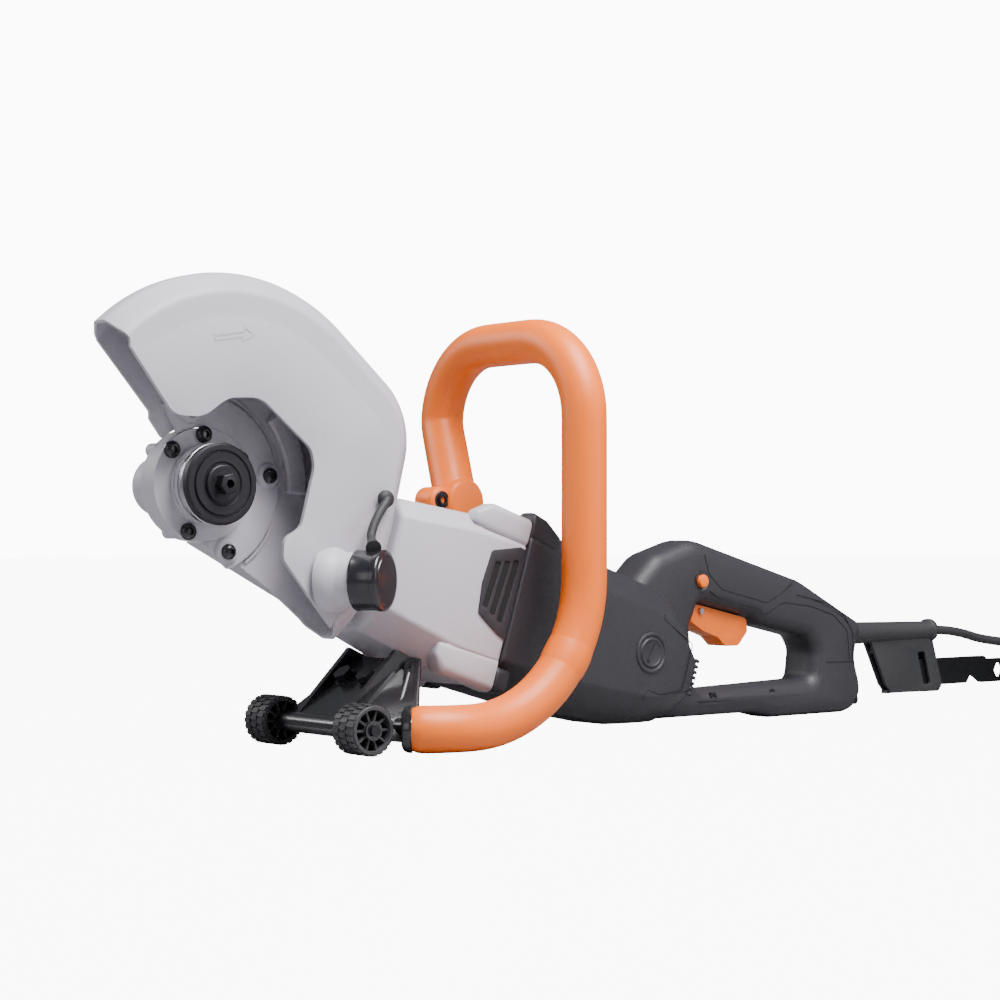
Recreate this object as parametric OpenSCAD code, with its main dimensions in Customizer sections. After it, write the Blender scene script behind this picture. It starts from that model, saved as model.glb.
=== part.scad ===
// Electric wall chaser: a hand-held disc machine with a guard, a loop handle and rollers.
// X runs from the disc end to the cord end, the disc is on the -Y side, and Z is up.
// The origin is on the spindle axis, in the plane where the disc is clamped.

/* [Machine] */
// Height of the spindle axis above the floor
spindle_h = 189.5; // [184:0.5:240]
// Distance from the disc plane to the centre plane of the body
body_y = 38; // [36:1:46]
// Slope of the motor axis, down to the rear, in degrees
motor_tilt = 17.8; // [16:0.2:19]
// Half the width of the gearbox casting
gearbox_half_w = 50; // [42:1:60]
// Half the width of the motor housing
motor_half_w = 46; // [40:1:56]
// Wall of the castings
cast_wall = 5; // [4:0.5:7]
// Wall of the plastic shells
shell_wall = 3.5; // [2.5:0.5:5]

/* [Spindle and flanges] */
// Diameter of the two disc flanges
flange_d = 56; // [50:1:60]
// Thickness of each flange
flange_t = 6; // [4:0.5:7]
// Diameter of the spindle in its bearings
spindle_d = 17; // [15:0.5:20]
// Outer diameter of the spindle bearings
spindle_bearing_d = 35; // [32:1:40]
// Width across the flats of the disc bolt
bolt_af = 13; // [10:1:17]

/* [Guard] */
// Radius of the guard around the disc
guard_r = 141; // [135:1:170]
// Width of the guard between its two plates
guard_w = 42.5; // [36:0.5:46]
// Width of the narrow crown of the guard
crown_w = 14; // [8:1:20]
// Thickness of the guard plates
guard_wall = 2.5; // [2:0.5:4]
// Outer radius of the dust port
port_r = 20; // [16:0.5:24]
// Length of the dust port beyond the guard plate
port_len = 33; // [28:1:40]

/* [Motor] */
// Outer radius of the armature core
armature_r = 28; // [24:0.5:32]
// Length of the armature core
armature_len = 62; // [50:1:70]
// Outer radius of the stator core
stator_r = 42; // [38:0.5:44]
// Air gap between the armature and the stator
air_gap = 0.8; // [0.5:0.1:1.2]
// Radius of the armature shaft
shaft_r = 6; // [5.5:0.5:7]
// Radius of the shaft in the neck of the gear case
neck_shaft_r = 5; // [4.5:0.1:5]
// Radius of the cooling fan
fan_r = 42; // [36:1:44]
// Teeth on the crown gear
crown_teeth = 37; // [31:1:41]
// Teeth on the pinion
pinion_teeth = 9; // [8:1:11]

/* [Loop handle] */
// Diameter of the loop handle
loop_d = 34; // [28:1:38]
// Width of the loop between its tube centres
loop_w = 172.6; // [160:0.2:200]
// Height of the top bar's centre above the spindle axis
loop_top = 114; // [100:1:140]
// Radius of the two top bends
loop_bend = 60; // [45:1:70]

/* [Rear handle] */
// Half the thickness of the rear handle
handle_half_w = 22; // [18:0.5:26]

/* [Rollers] */
// Diameter of each roller
roller_d = 36.6; // [32:0.2:44]
// Width of each roller
roller_w = 25.9; // [20:0.1:31]
// Distance between the centres of the rollers
roller_track = 112.8; // [110:0.2:136]
// Radius of the roller axle
axle_r = 4; // [3:0.5:5]
// Distance of the axle behind the spindle
roller_x = 107.8; // [100:0.2:116]

/* [Cord] */
// Diameter of the cord
cord_d = 8.4; // [7:0.2:9]
// Radius of the coil at the middle of its turns
coil_r = 50; // [42:1:50]
// Turns side by side in the coil
coil_columns = 2; // [2:1:3]
// Layers in the coil
coil_layers = 4; // [3:1:4]

/* [Hidden] */
$fn = 64;

grey = "#c3c0c6";
orange = "#f98e4e";
black = "#414047";
steel = "#8d8f94";
dark_steel = "#4a484c";

run_gap = 0.05;
gap = 0.4;
floor_z = -spindle_h;
cos_t = cos(motor_tilt);
sin_t = sin(motor_tilt);

// Outlines -------------------------------------------------------------------------------

function unit(v) = v / norm(v);
function corner(a, b, c, r, n) =
    let (
        u = unit(a - b),
        w = unit(c - b),
        half = acos(u * w) / 2,
        mid = b + unit(u + w) * r / sin(half),
        p0 = b + u * r / tan(half),
        p1 = b + w * r / tan(half),
        a0 = atan2(p0.y - mid.y, p0.x - mid.x),
        a1 = atan2(p1.y - mid.y, p1.x - mid.x),
        turn = (a1 - a0 + 540) % 360 - 180
    )
    [for (i = [0:n]) mid + r * [cos(a0 + turn * i / n), sin(a0 + turn * i / n)]];
// Turns a list of [x, y, radius] into points, with an arc at each corner that has a radius.
function rounded(p, n = 5) =
    let (m = len(p))
    [for (i = [0:m - 1])
        let (a = p[(i + m - 1) % m], b = p[i], c = p[(i + 1) % m])
        each b[2] == 0 ? [[b.x, b.y]] : corner([a.x, a.y], [b.x, b.y], [c.x, c.y], b[2], n)];
function arc_points(c, r, a0, a1, n) =
    [for (i = [0:n]) c + r * [cos(a0 + (a1 - a0) * i / n), sin(a0 + (a1 - a0) * i / n)]];
// A point given along the motor axis and square to it, as [x, z].
function motor_xz(s, t) = [s * cos_t + t * sin_t, t * cos_t - s * sin_t];

// Extrudes an outline drawn in X and Z from y0 to y1.
module side_plate(y0, y1) {
    translate([0, y1, 0]) rotate([90, 0, 0]) linear_extrude(y1 - y0) children();
}
module y_rod(r, y0, y1, x = 0, z = 0) {
    translate([x, y1, z]) rotate([90, 0, 0]) cylinder(r = r, h = y1 - y0);
}
module y_tube(r, r_in, y0, y1, x = 0, z = 0) {
    difference() {
        y_rod(r, y0, y1, x, z);
        y_rod(r_in, y0 - 1, y1 + 1, x, z);
    }
}
// Local X runs along the motor axis, from the spindle to the rear.
module motor_frame() {
    translate([0, body_y, 0]) rotate([0, motor_tilt, 0]) children();
}
module s_rod(r, s0, s1) {
    translate([s0, 0, 0]) rotate([0, 90, 0]) cylinder(r = r, h = s1 - s0);
}
module s_tube(r, r_in, s0, s1) {
    difference() {
        s_rod(r, s0, s1);
        s_rod(r_in, s0 - 1, s1 + 1);
    }
}
// A cross-section square to the motor axis, w to each side, with chamfered edges.
module section(s, w, top, bottom, cut, bottom_cut) {
    translate([s, 0, 0]) rotate([90, 0, 90]) linear_extrude(0.5) polygon([
        [-w, bottom + bottom_cut], [-w + bottom_cut, bottom], [w - bottom_cut, bottom],
        [w, bottom + bottom_cut], [w, top - cut], [w - cut, top], [-w + cut, top], [-w, top - cut]
    ]);
}
module hex_head(af, y0, y1, x = 0, z = 0) {
    translate([x, y1, z]) rotate([90, 0, 0]) cylinder(r = af / sqrt(3), h = y1 - y0, $fn = 6);
}

// Spindle --------------------------------------------------------------------------------

washer_r = 13;
washer_t = 2;
bolt_head_h = 8;
bolt_thread_r = 4;
pilot_r = 12.7;
pilot_h = 2.5;
spindle_end = 72;
crown_r = 30;
crown_face_y = body_y - 8.4;
crown_t = 8;
pinion_r = 8;
pinion_s0 = crown_r - 8;
pinion_len = 11;
pinion_seat_r = 3.5;
needle_s = pinion_s0 + pinion_len + 5;
needle_r = neck_shaft_r + 2;

module outer_flange() {
    color(dark_steel) difference() {
        union() {
            y_rod(flange_d / 2, -flange_t, 0);
        }
        y_tube(22.6, 21.4, -flange_t - 1, -flange_t + 0.8);
        y_rod(pilot_r + 0.05, -pilot_h - 0.3, 1);
        y_rod(bolt_thread_r + 0.3, -flange_t - 1, 1);
    }
}
module inner_flange() {
    color(steel) difference() {
        union() {
            y_rod(flange_d / 2, 0, flange_t);
            y_rod(pilot_r, -pilot_h, 0.5);
        }
        y_rod(spindle_d / 2 - 2 + 0.02, -pilot_h - 1, flange_t + 1);
    }
}
module flange_washer() {
    color(dark_steel) y_tube(washer_r, bolt_thread_r + 0.3, -flange_t - washer_t, -flange_t);
}
module disc_bolt() {
    head_y = -flange_t - washer_t;
    color(dark_steel) difference() {
        union() {
            hex_head(bolt_af, head_y - bolt_head_h, head_y);
            y_rod(bolt_thread_r, head_y - 1, 20);
        }
        hex_head(6, head_y - bolt_head_h - 1, head_y - bolt_head_h + 5);
    }
}
module spindle_shaft() {
    color(steel) difference() {
        union() {
            y_rod(spindle_d / 2 - 2, -pilot_h, flange_t + 1);
            y_rod(spindle_d / 2, flange_t, spindle_end);
        }
        y_rod(bolt_thread_r + 0.02, -pilot_h - 1, 22);
    }
}
// Each tooth is a tapered bar that points out from the axis; one gap faces the pinion.
module crown_gear() {
    top_y = body_y - 5.9;
    color(dark_steel) {
        union() {
            y_tube(crown_r, spindle_d / 2 + 0.02, crown_face_y - crown_t, crown_face_y);
            y_tube(15, spindle_d / 2 + 0.02, crown_face_y - crown_t, crown_face_y + 4);
            for (i = [0:crown_teeth - 1])
                rotate([0, motor_tilt + (i + 0.5) * 360 / crown_teeth, 0])
                    translate([crown_r - 7, 0, 0]) rotate([90, 0, 90]) linear_extrude(6.5)
                        polygon([[crown_face_y - 0.5, -1], [top_y, -0.5],
                                 [top_y, 0.5], [crown_face_y - 0.5, 1]]);
        }
    }
}

// Guard ----------------------------------------------------------------------------------

near_y = -16;
far_y = near_y + guard_w;
crown_y0 = -2;
crown_y1 = crown_y0 + crown_w;
shoulder = 12;
guard_c = [8, 3];
bulge_c = [103, 33] * guard_r / 141;
bulge_r = 56;
guard_line = atan2(bulge_c.y - guard_c.y, bulge_c.x - guard_c.x);
guard_turn = acos((guard_r - bulge_r) / norm(bulge_c - guard_c));
tip_angle = 133;
tail_angle = -52;
collar_r = 62;
hub_r = 39;
collar_y0 = far_y - 6.5;
collar_y1 = far_y - guard_wall;

// The outline of the guard, drawn in by d. A wide arc is joined to a tighter one at the rear.
function guard_arc(d) = concat(
    arc_points(guard_c, guard_r - d, tip_angle, guard_line + guard_turn, 20),
    arc_points(bulge_c, bulge_r - d, guard_line + guard_turn, guard_line - guard_turn, 12),
    arc_points(guard_c, guard_r - d, guard_line - guard_turn, tail_angle, 11)
);
// The cross-section of the rim: a narrow crown with a sloping shoulder down to each plate.
module rim_section(r) {
    w = guard_wall;
    in = shoulder + 4;
    polygon([
        [r - in, near_y], [r - shoulder, near_y], [r, crown_y0], [r, crown_y1],
        [r - shoulder, far_y], [r - in, far_y], [r - in, far_y - w],
        [r - shoulder - w / 3, far_y - w], [r - w, crown_y1 - w / 3], [r - w, crown_y0 + w / 3],
        [r - shoulder - w / 3, near_y + w], [r - in, near_y + w]
    ]);
}
// A stretch of the rim that turns about centre c, from angle a0 up to angle a1.
module rim_arc(c, r, a0, a1) {
    translate([c.x, 0, c.y]) rotate([90, 0, 0]) rotate([0, 0, a0])
        rotate_extrude(angle = a1 - a0) mirror([0, 1]) rim_section(r);
}
module rim_straight(a) {
    run = sqrt(pow(norm(bulge_c - guard_c), 2) - pow(guard_r - bulge_r, 2));
    turn = a > guard_line ? 1 : -1;
    translate([bulge_c.x, 0, bulge_c.y]) rotate([90, 0, 0]) rotate([0, 0, a])
        rotate([-turn * 90, 0, 0]) linear_extrude(run)
            mirror([0, turn > 0 ? 0 : 1]) rim_section(bulge_r);
}
module rim() {
    rim_arc(guard_c, guard_r, guard_line + guard_turn, tip_angle);
    rim_arc(bulge_c, bulge_r, guard_line - guard_turn, guard_line + guard_turn);
    rim_arc(guard_c, guard_r, tail_angle, guard_line - guard_turn);
    rim_straight(guard_line + guard_turn);
    rim_straight(guard_line - guard_turn);
}
// The open side of the near plate: a straight front edge, the bay around the flanges, the tail.
near_edge = rounded([
    [-92, 105, 0], [-44, 45, 14], [-22, 44, 24], [-2, 58, 24], [24, 59, 20], [66, 25, 14],
    [68, 12, 16], [57, -29, 10], [43, -37, 8], [42, -51, 8], [88, -106, 0]
]);
far_edge = rounded([
    [-87, 105, 0], [-39, 48, 3], [-39, 43, 3], [-20, 20, 6], [-36, -36, 0], [20, -48, 0],
    [58, -73, 12], [90, -99, 0]
]);
module guard_plate(y0, edge) {
    difference() {
        side_plate(y0 + 0.1, y0 + guard_wall - 0.1)
            polygon(concat(guard_arc(shoulder + 2.5), [[20, -140], [-130, 20]]));
        side_plate(y0 - 1, y0 + guard_wall + 1)
            polygon(concat(edge, [[edge[len(edge) - 1].x, -200], [-200, -200], [-200, edge[0].y]]));
    }
}
module guard_shell() {
    color(grey) difference() {
        union() {
            rim();
            guard_plate(near_y, near_edge);
            guard_plate(far_y - guard_wall, far_edge);
        }
        y_rod(hub_r + 3, crown_y0, far_y + 1);
        for (p = collar_screw_xz) y_rod(3, far_y - guard_wall - 1, far_y + 1, p.x, p.y);
        port_frame() translate([0, 0, -20]) cylinder(r = port_r - 3, h = 26);
    }
}
collar_screw_xz = [[53, 7], [19, -46], [-10, 51]];
module guard_collar() {
    color(grey) difference() {
        y_rod(collar_r, collar_y0, collar_y1);
        y_rod(hub_r + run_gap, collar_y0 - 1, collar_y1 + 1);
        for (p = collar_screw_xz) y_rod(3, collar_y0 - 1, collar_y1 + 1, p.x, p.y);
        side_plate(collar_y0 - 1, collar_y1 + 1)
            polygon([[-30, 100], [-30, 0], [0, -20], [10, -100], [-100, -100], [-100, 100]]);
    }
}
module button_screw(x, y, z, r, length) {
    difference() {
        union() {
            y_rod(5.5, y - 3.5, y, x, z);
            y_rod(r, y - 1, y + length, x, z);
        }
        y_rod(2.2, y - 4, y - 1.5, x, z);
    }
}
module guard_screws() {
    color(black) for (p = collar_screw_xz) button_screw(p.x, collar_y0, p.y, 2.9, 8);
}

// The dust port leaves the near plate level, turned to the rear.
port_x = 87;
port_z = -66;
port_turn = 32;
module port_frame() {
    translate([port_x, near_y, port_z]) rotate([90, 0, 0]) rotate([0, port_turn, 0]) children();
}
cap_h = 19;
cap_r = port_r + 1.5;
module dust_port() {
    color(grey) difference() {
        union() {
            port_frame() translate([0, 0, 0]) cylinder(r = port_r - 0.6, h = port_len);
            y_rod(port_r + 4, near_y - 2.4, near_y, port_x, port_z);
        }
        port_frame() translate([0, 0, -20]) cylinder(r = port_r - 3, h = port_len + 30);
        side_plate(near_y, near_y + 40) square([400, 400], center = true);
    }
}
module dust_cap() {
    color(black) port_frame() translate([0, 0, port_len + 3 - cap_h]) difference() {
        cylinder(r = cap_r, h = cap_h);
        translate([0, 0, -1]) cylinder(r = port_r - 0.6 + 0.06, h = cap_h - 3 + 1.05);
        translate([0, 0, cap_h - 0.8]) cylinder(r = cap_r - 3, h = 1);
    }
}
// A rubber strap from the button on the guard down to the cap.
strap_x = 126;
strap_z = port_z + port_r + 37;
module cap_strap() {
    color(black) {
        y_rod(5.5, near_y - 6, near_y, strap_x, strap_z);
        hull() {
            y_rod(3, near_y - 5, near_y - 1, strap_x, strap_z, $fn = 24);
            y_rod(3, near_y - 9, near_y - 5, strap_x - 14, strap_z - 20, $fn = 24);
        }
        hull() {
            y_rod(3, near_y - 9, near_y - 5, strap_x - 14, strap_z - 20, $fn = 24);
            y_rod(3, near_y - 15, near_y - 11, strap_x - 22, strap_z - 32, $fn = 24);
        }
    }
}

// Gear case ------------------------------------------------------------------------------

case_y0 = far_y + 6.5;
case_y1 = body_y + 26;
stub_end = spindle_end + 7;
stub_r = spindle_bearing_d / 2 + 3.5;
drum_y = case_y0 + 3;
cone_y = body_y + 14;
well_y = body_y + 6;
snout_r = 27.5;
snout_y0 = flange_t + 1.5;
case_r = hub_r;
neck_half_w = 42;
neck_near = needle_r + 2;
neck_end = 152;
main_bearing_s = neck_end + 4;
main_bearing_r = 17.5;
cover_screw_angles = [90, 137, 249, 30];
cover_screw_r = 34.5;
lock_x = 20;
lock_z = -28;
module gear_case() {
    color(grey) difference() {
        union() {
            y_rod(case_r, case_y0, drum_y);
            translate([0, cone_y, 0]) rotate([90, 0, 0])
                cylinder(r1 = stub_r, r2 = case_r, h = cone_y - drum_y);
            y_rod(stub_r, drum_y - 1, stub_end);
            y_rod(8, body_y, case_y1 + 12, lock_x, lock_z);
            for (a = cover_screw_angles) y_rod(5, case_y0, case_y0 + 12,
                cover_screw_r * cos(a), cover_screw_r * sin(a));
            motor_frame() hull() {
                translate([25, -neck_near, -34]) cube([1, 25 + neck_near, 66]);
                translate([neck_end - 1, -neck_near, -52]) cube([1, neck_half_w + neck_near, 92]);
            }
        }
        y_rod(case_r, collar_y0, case_y0);
        y_rod(24, case_y0 - 1, well_y);
        y_rod(spindle_bearing_d / 2 - 3, well_y - 1, stub_end - 16);
        y_rod(spindle_bearing_d / 2, stub_end - 17, stub_end - 5);
        y_rod(4.05, case_y1 - 12, case_y1 + 13, lock_x, lock_z);
        y_rod(6.3, case_y1 + 6, case_y1 + 13, lock_x, lock_z);
        motor_frame() s_rod(pinion_r + 0.8, 15, needle_s - 1);
        motor_frame() s_rod(needle_r, needle_s - 1.5, needle_s + 12);
        motor_frame() s_rod(neck_shaft_r + 1, needle_s, neck_end + 1);
        for (a = cover_screw_angles)
            y_rod(2.1, case_y0 - 1, case_y0 + 10, cover_screw_r * cos(a), cover_screw_r * sin(a));
    }
}
cover_y0 = collar_y0 - 1.5;
near_bearing_y = snout_y0 + 1.5;
module gear_case_cover() {
    color(grey) difference() {
        union() {
            y_rod(hub_r, cover_y0, case_y0);
            y_rod(snout_r, snout_y0, cover_y0 + 1);
        }
        y_tube(snout_r + 1, snout_r - 0.8, snout_y0 + 4, snout_y0 + 5);
        y_tube(snout_r + 1, snout_r - 0.8, snout_y0 + 8, snout_y0 + 9);
        y_rod(spindle_bearing_d / 2, near_bearing_y, case_y0);
        y_rod(crown_r + 1, crown_face_y - crown_t - 0.6, case_y0 + 1);
        y_rod(spindle_d / 2 + 1.5, snout_y0 - 1, case_y0);
        motor_frame() s_rod(pinion_r + 0.8, spindle_bearing_d / 2 + 1, 60);
        for (a = cover_screw_angles)
            y_rod(2.3, cover_y0 - 1, case_y0 + 1, cover_screw_r * cos(a), cover_screw_r * sin(a));
    }
}
module cover_screws() {
    color(black) for (a = cover_screw_angles)
        button_screw(cover_screw_r * cos(a), cover_y0, cover_screw_r * sin(a), 2,
            case_y0 - cover_y0 + 9);
}
module spindle_bearings() {
    color(steel) {
        y_tube(spindle_bearing_d / 2 - 0.02, spindle_d / 2 + run_gap, near_bearing_y, near_bearing_y + 10);
        y_tube(spindle_bearing_d / 2 - 0.02, spindle_d / 2 + run_gap, stub_end - 17, stub_end - 7);
    }
}
module spindle_lock_button() {
    color(black) {
        y_rod(6, case_y1 + 10, case_y1 + 20, lock_x, lock_z);
        y_rod(4, case_y1 - 3, case_y1 + 11, lock_x, lock_z);
    }
}

// Gearbox and motor housings -------------------------------------------------------------

housing_s0 = neck_end;
seam_s = 268;
vent_outline = [[235, 27], [262, 35], [262, -31], [255, -29], [236, -20], [231, 0]];
module fan_form(d) {
    hull() {
        section(housing_s0 + d, gearbox_half_w - 6 - d, 42 - d, -60 + d, 14, 20);
        section(222, gearbox_half_w - d, 51 - d, -70 + d, 14, 20);
        section(seam_s - 0.5, gearbox_half_w - d, 53 - d, -70 + d, 14, 20);
    }
}
boss_y = gearbox_half_w - 10;
lug_top = 61;
module fan_housing() {
    color(grey) motor_frame() difference() {
        union() {
            fan_form(0);
            s_rod(main_bearing_r + 4, housing_s0 + cast_wall - 1, main_bearing_s + 11.5);
            for (side = [-1, 1]) {
                translate([226, side * boss_y - 10, 36]) cube([seam_s - 226, 20, lug_top - 36]);
                translate([209, side * boss_y - 10, -74]) cube([seam_s - 209, 20, 28]);
            }
        }
        difference() {
            fan_form(cast_wall);
            translate([housing_s0 - 1, -100, -100]) cube([cast_wall + 1, 200, 200]);
            s_rod(main_bearing_r + 4, housing_s0, main_bearing_s + 11.5);
        }
        translate([seam_s - 1, 0, 0]) s_rod(fan_r + 1, -0.5, 5);
        s_rod(main_bearing_r, main_bearing_s - 0.01, main_bearing_s + 11.5);
        s_rod(neck_shaft_r + 1, housing_s0 - 1, main_bearing_s + 1);
        rotate([90, 0, 0]) linear_extrude(300, center = true) polygon(vent_outline);
        for (side = [-1, 1], t = [49, -62])
            translate([0, side * boss_y, t]) s_rod(2.5, seam_s - 24, seam_s + 1);
    }
}
module vent_grilles() {
    color(black) motor_frame() for (side = [-1, 1])
        translate([0, side * (gearbox_half_w - cast_wall / 2), 0]) rotate([90, 0, 0]) {
            linear_extrude(cast_wall, center = true) difference() {
                polygon([for (p = vent_outline) (p - [249, 3]) * 0.985 + [249, 3]]);
                for (i = [0:2])
                    polygon([[240 + i * 7, 24 + i * 2], [244 + i * 7, 25 + i * 2],
                             [241 + i * 7, -16 - i * 4], [237 + i * 7, -15 - i * 4]]);
            }
        }
}
module housing_screws() {
    color(dark_steel) motor_frame() for (side = [-1, 1], t = [49, -62])
        translate([0, side * boss_y, t]) {
            s_rod(2.45, seam_s - 20, seam_s + 9);
            s_rod(4.5, seam_s + 8, seam_s + 12);
        }
}

motor_end = 440;
module motor_form(d) {
    hull() {
        section(seam_s, gearbox_half_w - d, 64 - d, -70 + d, 18, 22);
        section(300, gearbox_half_w - 1 - d, 62 - d, -70 + d, 18, 24);
        section(350, motor_half_w - d, 56 - d, -69 + d, 22, 26);
    }
    hull() {
        section(350 - 0.1, motor_half_w - d, 56 - d, -69 + d, 22, 26);
        section(motor_end - 0.5, motor_half_w - 1 - d, 55 - d, -58 + d, 22, 26);
    }
}
brush_s = 416;
brush_cap_r = 15.5;
module above_floor() {
    difference() {
        children();
        translate([-500, -500, floor_z - 200]) cube([2000, 2000, 200 + 5.5]);
    }
}
module motor_housing() {
    color(black) above_floor() motor_frame() difference() {
        union() {
            motor_form(0);
        }
        difference() {
            motor_form(shell_wall);
            translate([motor_end - 4, -100, -100]) cube([10, 200, 200]);
        }
        translate([seam_s - 1, -30, -40]) cube([6, 60, 80]);
        translate([seam_s - 1, -60, -45]) cube([5, 120, 80]);
        s_rod(14, motor_end - 10, motor_end + 5);
        for (side = [-1, 1]) translate([brush_s, 0, 0]) rotate([side * 90, 0, 0])
            translate([0, 0, 30]) cylinder(r = brush_cap_r + 0.2, h = 40);
        for (side = [-1, 1], t = [49, -62])
            translate([0, side * boss_y, t]) s_rod(4.6, seam_s - 1, seam_s + 13);
    }
}
rear_bearing_s = motor_end - 8;
rear_bearing_r = 14;
module motor_bearings() {
    color(steel) motor_frame() {
        s_tube(needle_r - 0.02, neck_shaft_r + run_gap, needle_s, needle_s + 12);
        s_tube(main_bearing_r - 0.02, shaft_r + run_gap, main_bearing_s, main_bearing_s + 11);
        s_tube(rear_bearing_r - 0.02, shaft_r + run_gap, rear_bearing_s + 4, rear_bearing_s + 12);
    }
}
stack_s = 306;
module stator_core() {
    color(steel) motor_frame() s_tube(stator_r, armature_r + air_gap, stack_s, stack_s + armature_len);
}
module field_coils() {
    color("#a5562c") motor_frame() for (s = [stack_s - 12.1, stack_s + armature_len + 0.1])
        s_tube(stator_r - 2, armature_r + 3, s, s + 12);
}
module brush_caps() {
    color(black) motor_frame() for (side = [-1, 1])
        translate([brush_s, 0, 0]) rotate([side * 90, 0, 0]) difference() {
            translate([0, 0, 36]) cylinder(r = brush_cap_r - 0.1, h = motor_half_w - 36 + 0.4);
            translate([0, 0, motor_half_w - 1.6])
                difference() {
                    cylinder(r = brush_cap_r - 2, h = 5);
                    translate([0, 0, -1]) cylinder(r = brush_cap_r - 4, h = 8);
                }
            translate([-1.2, -9, motor_half_w - 2]) cube([2.4, 18, 5]);
        }
}
module brush_holders() {
    color("#b08d3e") motor_frame() for (side = [-1, 1])
        translate([brush_s, 0, 0]) rotate([side * 90, 0, 0]) difference() {
            translate([-7, -9, 17.5]) cube([14, 18, 18]);
            translate([-5, -7, 16]) cube([10, 14, 21]);
        }
}
module carbon_brushes() {
    color("#33312f") motor_frame() for (side = [-1, 1])
        translate([brush_s, 0, 0]) rotate([side * 90, 0, 0])
            translate([-4.9, -6.9, 15.4]) cube([9.8, 13.8, 12]);
}
module brush_springs() {
    color(steel) motor_frame() for (side = [-1, 1])
        translate([brush_s, 0, 0]) rotate([side * 90, 0, 0])
            translate([0, 0, 27.4]) difference() {
                cylinder(r = 3.6, h = 8.6);
                translate([0, 0, -1]) cylinder(r = 2.8, h = 12);
            }
}

// Armature -------------------------------------------------------------------------------

module armature_shaft() {
    color(steel) motor_frame() {
        s_rod(pinion_seat_r, pinion_s0, pinion_s0 + pinion_len + 1);
        s_rod(neck_shaft_r, pinion_s0 + pinion_len, main_bearing_s);
        s_rod(shaft_r, main_bearing_s - 0.5, rear_bearing_s + 12);
    }
}
module pinion() {
    color(dark_steel) motor_frame() translate([pinion_s0, 0, 0]) rotate([0, 90, 0]) difference() {
        union() {
            cylinder(r = 5.6, h = pinion_len);
            for (i = [0:pinion_teeth - 1]) rotate([0, 0, -90 + i * 360 / pinion_teeth])
                translate([0, 0, 0.2]) linear_extrude(pinion_len - 0.4)
                    polygon([[5, -1.05], [pinion_r, -0.45], [pinion_r, 0.45], [5, 1.05]]);
        }
        translate([0, 0, -1]) cylinder(r = pinion_seat_r + 0.01, h = pinion_len + 2);
    }
}
module armature_core() {
    color(steel) motor_frame() s_tube(armature_r, shaft_r + 0.01, stack_s, stack_s + armature_len);
}
module armature_windings() {
    color("#a5562c") motor_frame() for (s = [stack_s - 14.1, stack_s + armature_len + 0.1])
        s_tube(armature_r - 2, shaft_r + 2, s, s + 14);
}
module commutator() {
    color("#b87333") motor_frame() s_tube(15, shaft_r + 0.01, brush_s - 14, brush_s + 13);
}
module cooling_fan() {
    color(black) motor_frame() translate([seam_s - 2, 0, 0]) {
        s_tube(fan_r, shaft_r + 0.01, 0, 2.5);
        s_tube(14, shaft_r + 0.01, 2, 14);
        for (i = [0:10]) rotate([i * 360 / 11, 0, 0]) translate([2, -1, 16]) cube([10, 2, fan_r - 17]);
    }
}

// Rear handle ----------------------------------------------------------------------------

function on_line(s, t) = concat(motor_xz(s, t), [0]);
handle_outline = rounded([
    [399, -69, 0], [424, -47, 14], [470, -37, 22], [600, -73, 50], [655, -100, 16],
    [679, -112, 9], [667, -138, 14], [675, -165, 20], [673, floor_z, 16],
    [568, floor_z, 3], [554, floor_z + 5.5, 3],
    on_line(motor_end + 0.02, (floor_z + 5.5 + motor_end * sin_t) / cos_t), on_line(motor_end + 0.02, 55.5)
]);
finger_gap = rounded([
    [476, -112, 3], [541, -107, 5], [606, -122, 9], [613, -130, 6], [611, -153, 5],
    [472, -153, 4]
]);
module end_form(d) {
    hull() {
        section(motor_end + 0.02 + d, motor_half_w - 1 - d, 54 - d, -57 + d, 22, 26);
        section(472 - d, motor_half_w - 6 - d, 20 - d, -35 + d, 16, 22);
    }
}
trigger_slot = [[472, -112], [472, -86], [545, -96], [545, -118]];
module handle_body() {
    difference() {
        union() {
            side_plate(body_y - handle_half_w, body_y + handle_half_w) polygon(handle_outline);
            above_floor() motor_frame() end_form(0);
        }
        side_plate(body_y - 60, body_y + 60) polygon(finger_gap);
        side_plate(body_y - 9.5, body_y + 9.5) polygon(trigger_slot);
        side_plate(body_y - 15, body_y + 15) polygon(rounded([
            [440, -68, 4], [470, -50, 8], [598, -88, 20], [650, -112, 8], [650, -126, 4],
            [600, -112, 20], [545, -96, 0], [472, -86, 0], [444, -84, 0]
        ]));
        side_plate(body_y - 12, body_y + 12) polygon(rounded([
            [636, -112, 2], [656, -112, 4], [656, -172, 6], [626, -172, 6], [626, -124, 2]
        ]));
        motor_frame() difference() {
            end_form(shell_wall);
            translate([468, -50, -60]) cube([10, 100, 100]);
        }
        motor_frame() s_rod(15, motor_end - 1, motor_end + 5);
        y_rod(6, body_y - 40, body_y - 10, 475, -72);
        y_rod(2.52, body_y - 13.1, body_y + 13.1, trigger_pivot.x, trigger_pivot.y);
        translate([655, body_y, -121]) rotate([0, 90, 0]) cylinder(r = 10.05, h = 40);
        for (p = handle_screw_xz) y_rod(4.2, body_y - 30, body_y - handle_half_w + 5, p.x, p.y);
        for (p = handle_screw_xz) y_rod(1.9, body_y - 30, body_y + 12, p.x, p.y);
    }
}
handle_screw_xz = [[440, -62], [618, -98], [664, -178], [560, -168], [490, -168]];
module handle_shell_near() {
    color(black) intersection() {
        handle_body();
        translate([0, body_y - 100, -400]) cube([1000, 100, 800]);
    }
}
module handle_shell_far() {
    color(black) intersection() {
        handle_body();
        translate([0, body_y, -400]) cube([1000, 100, 800]);
    }
}
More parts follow.
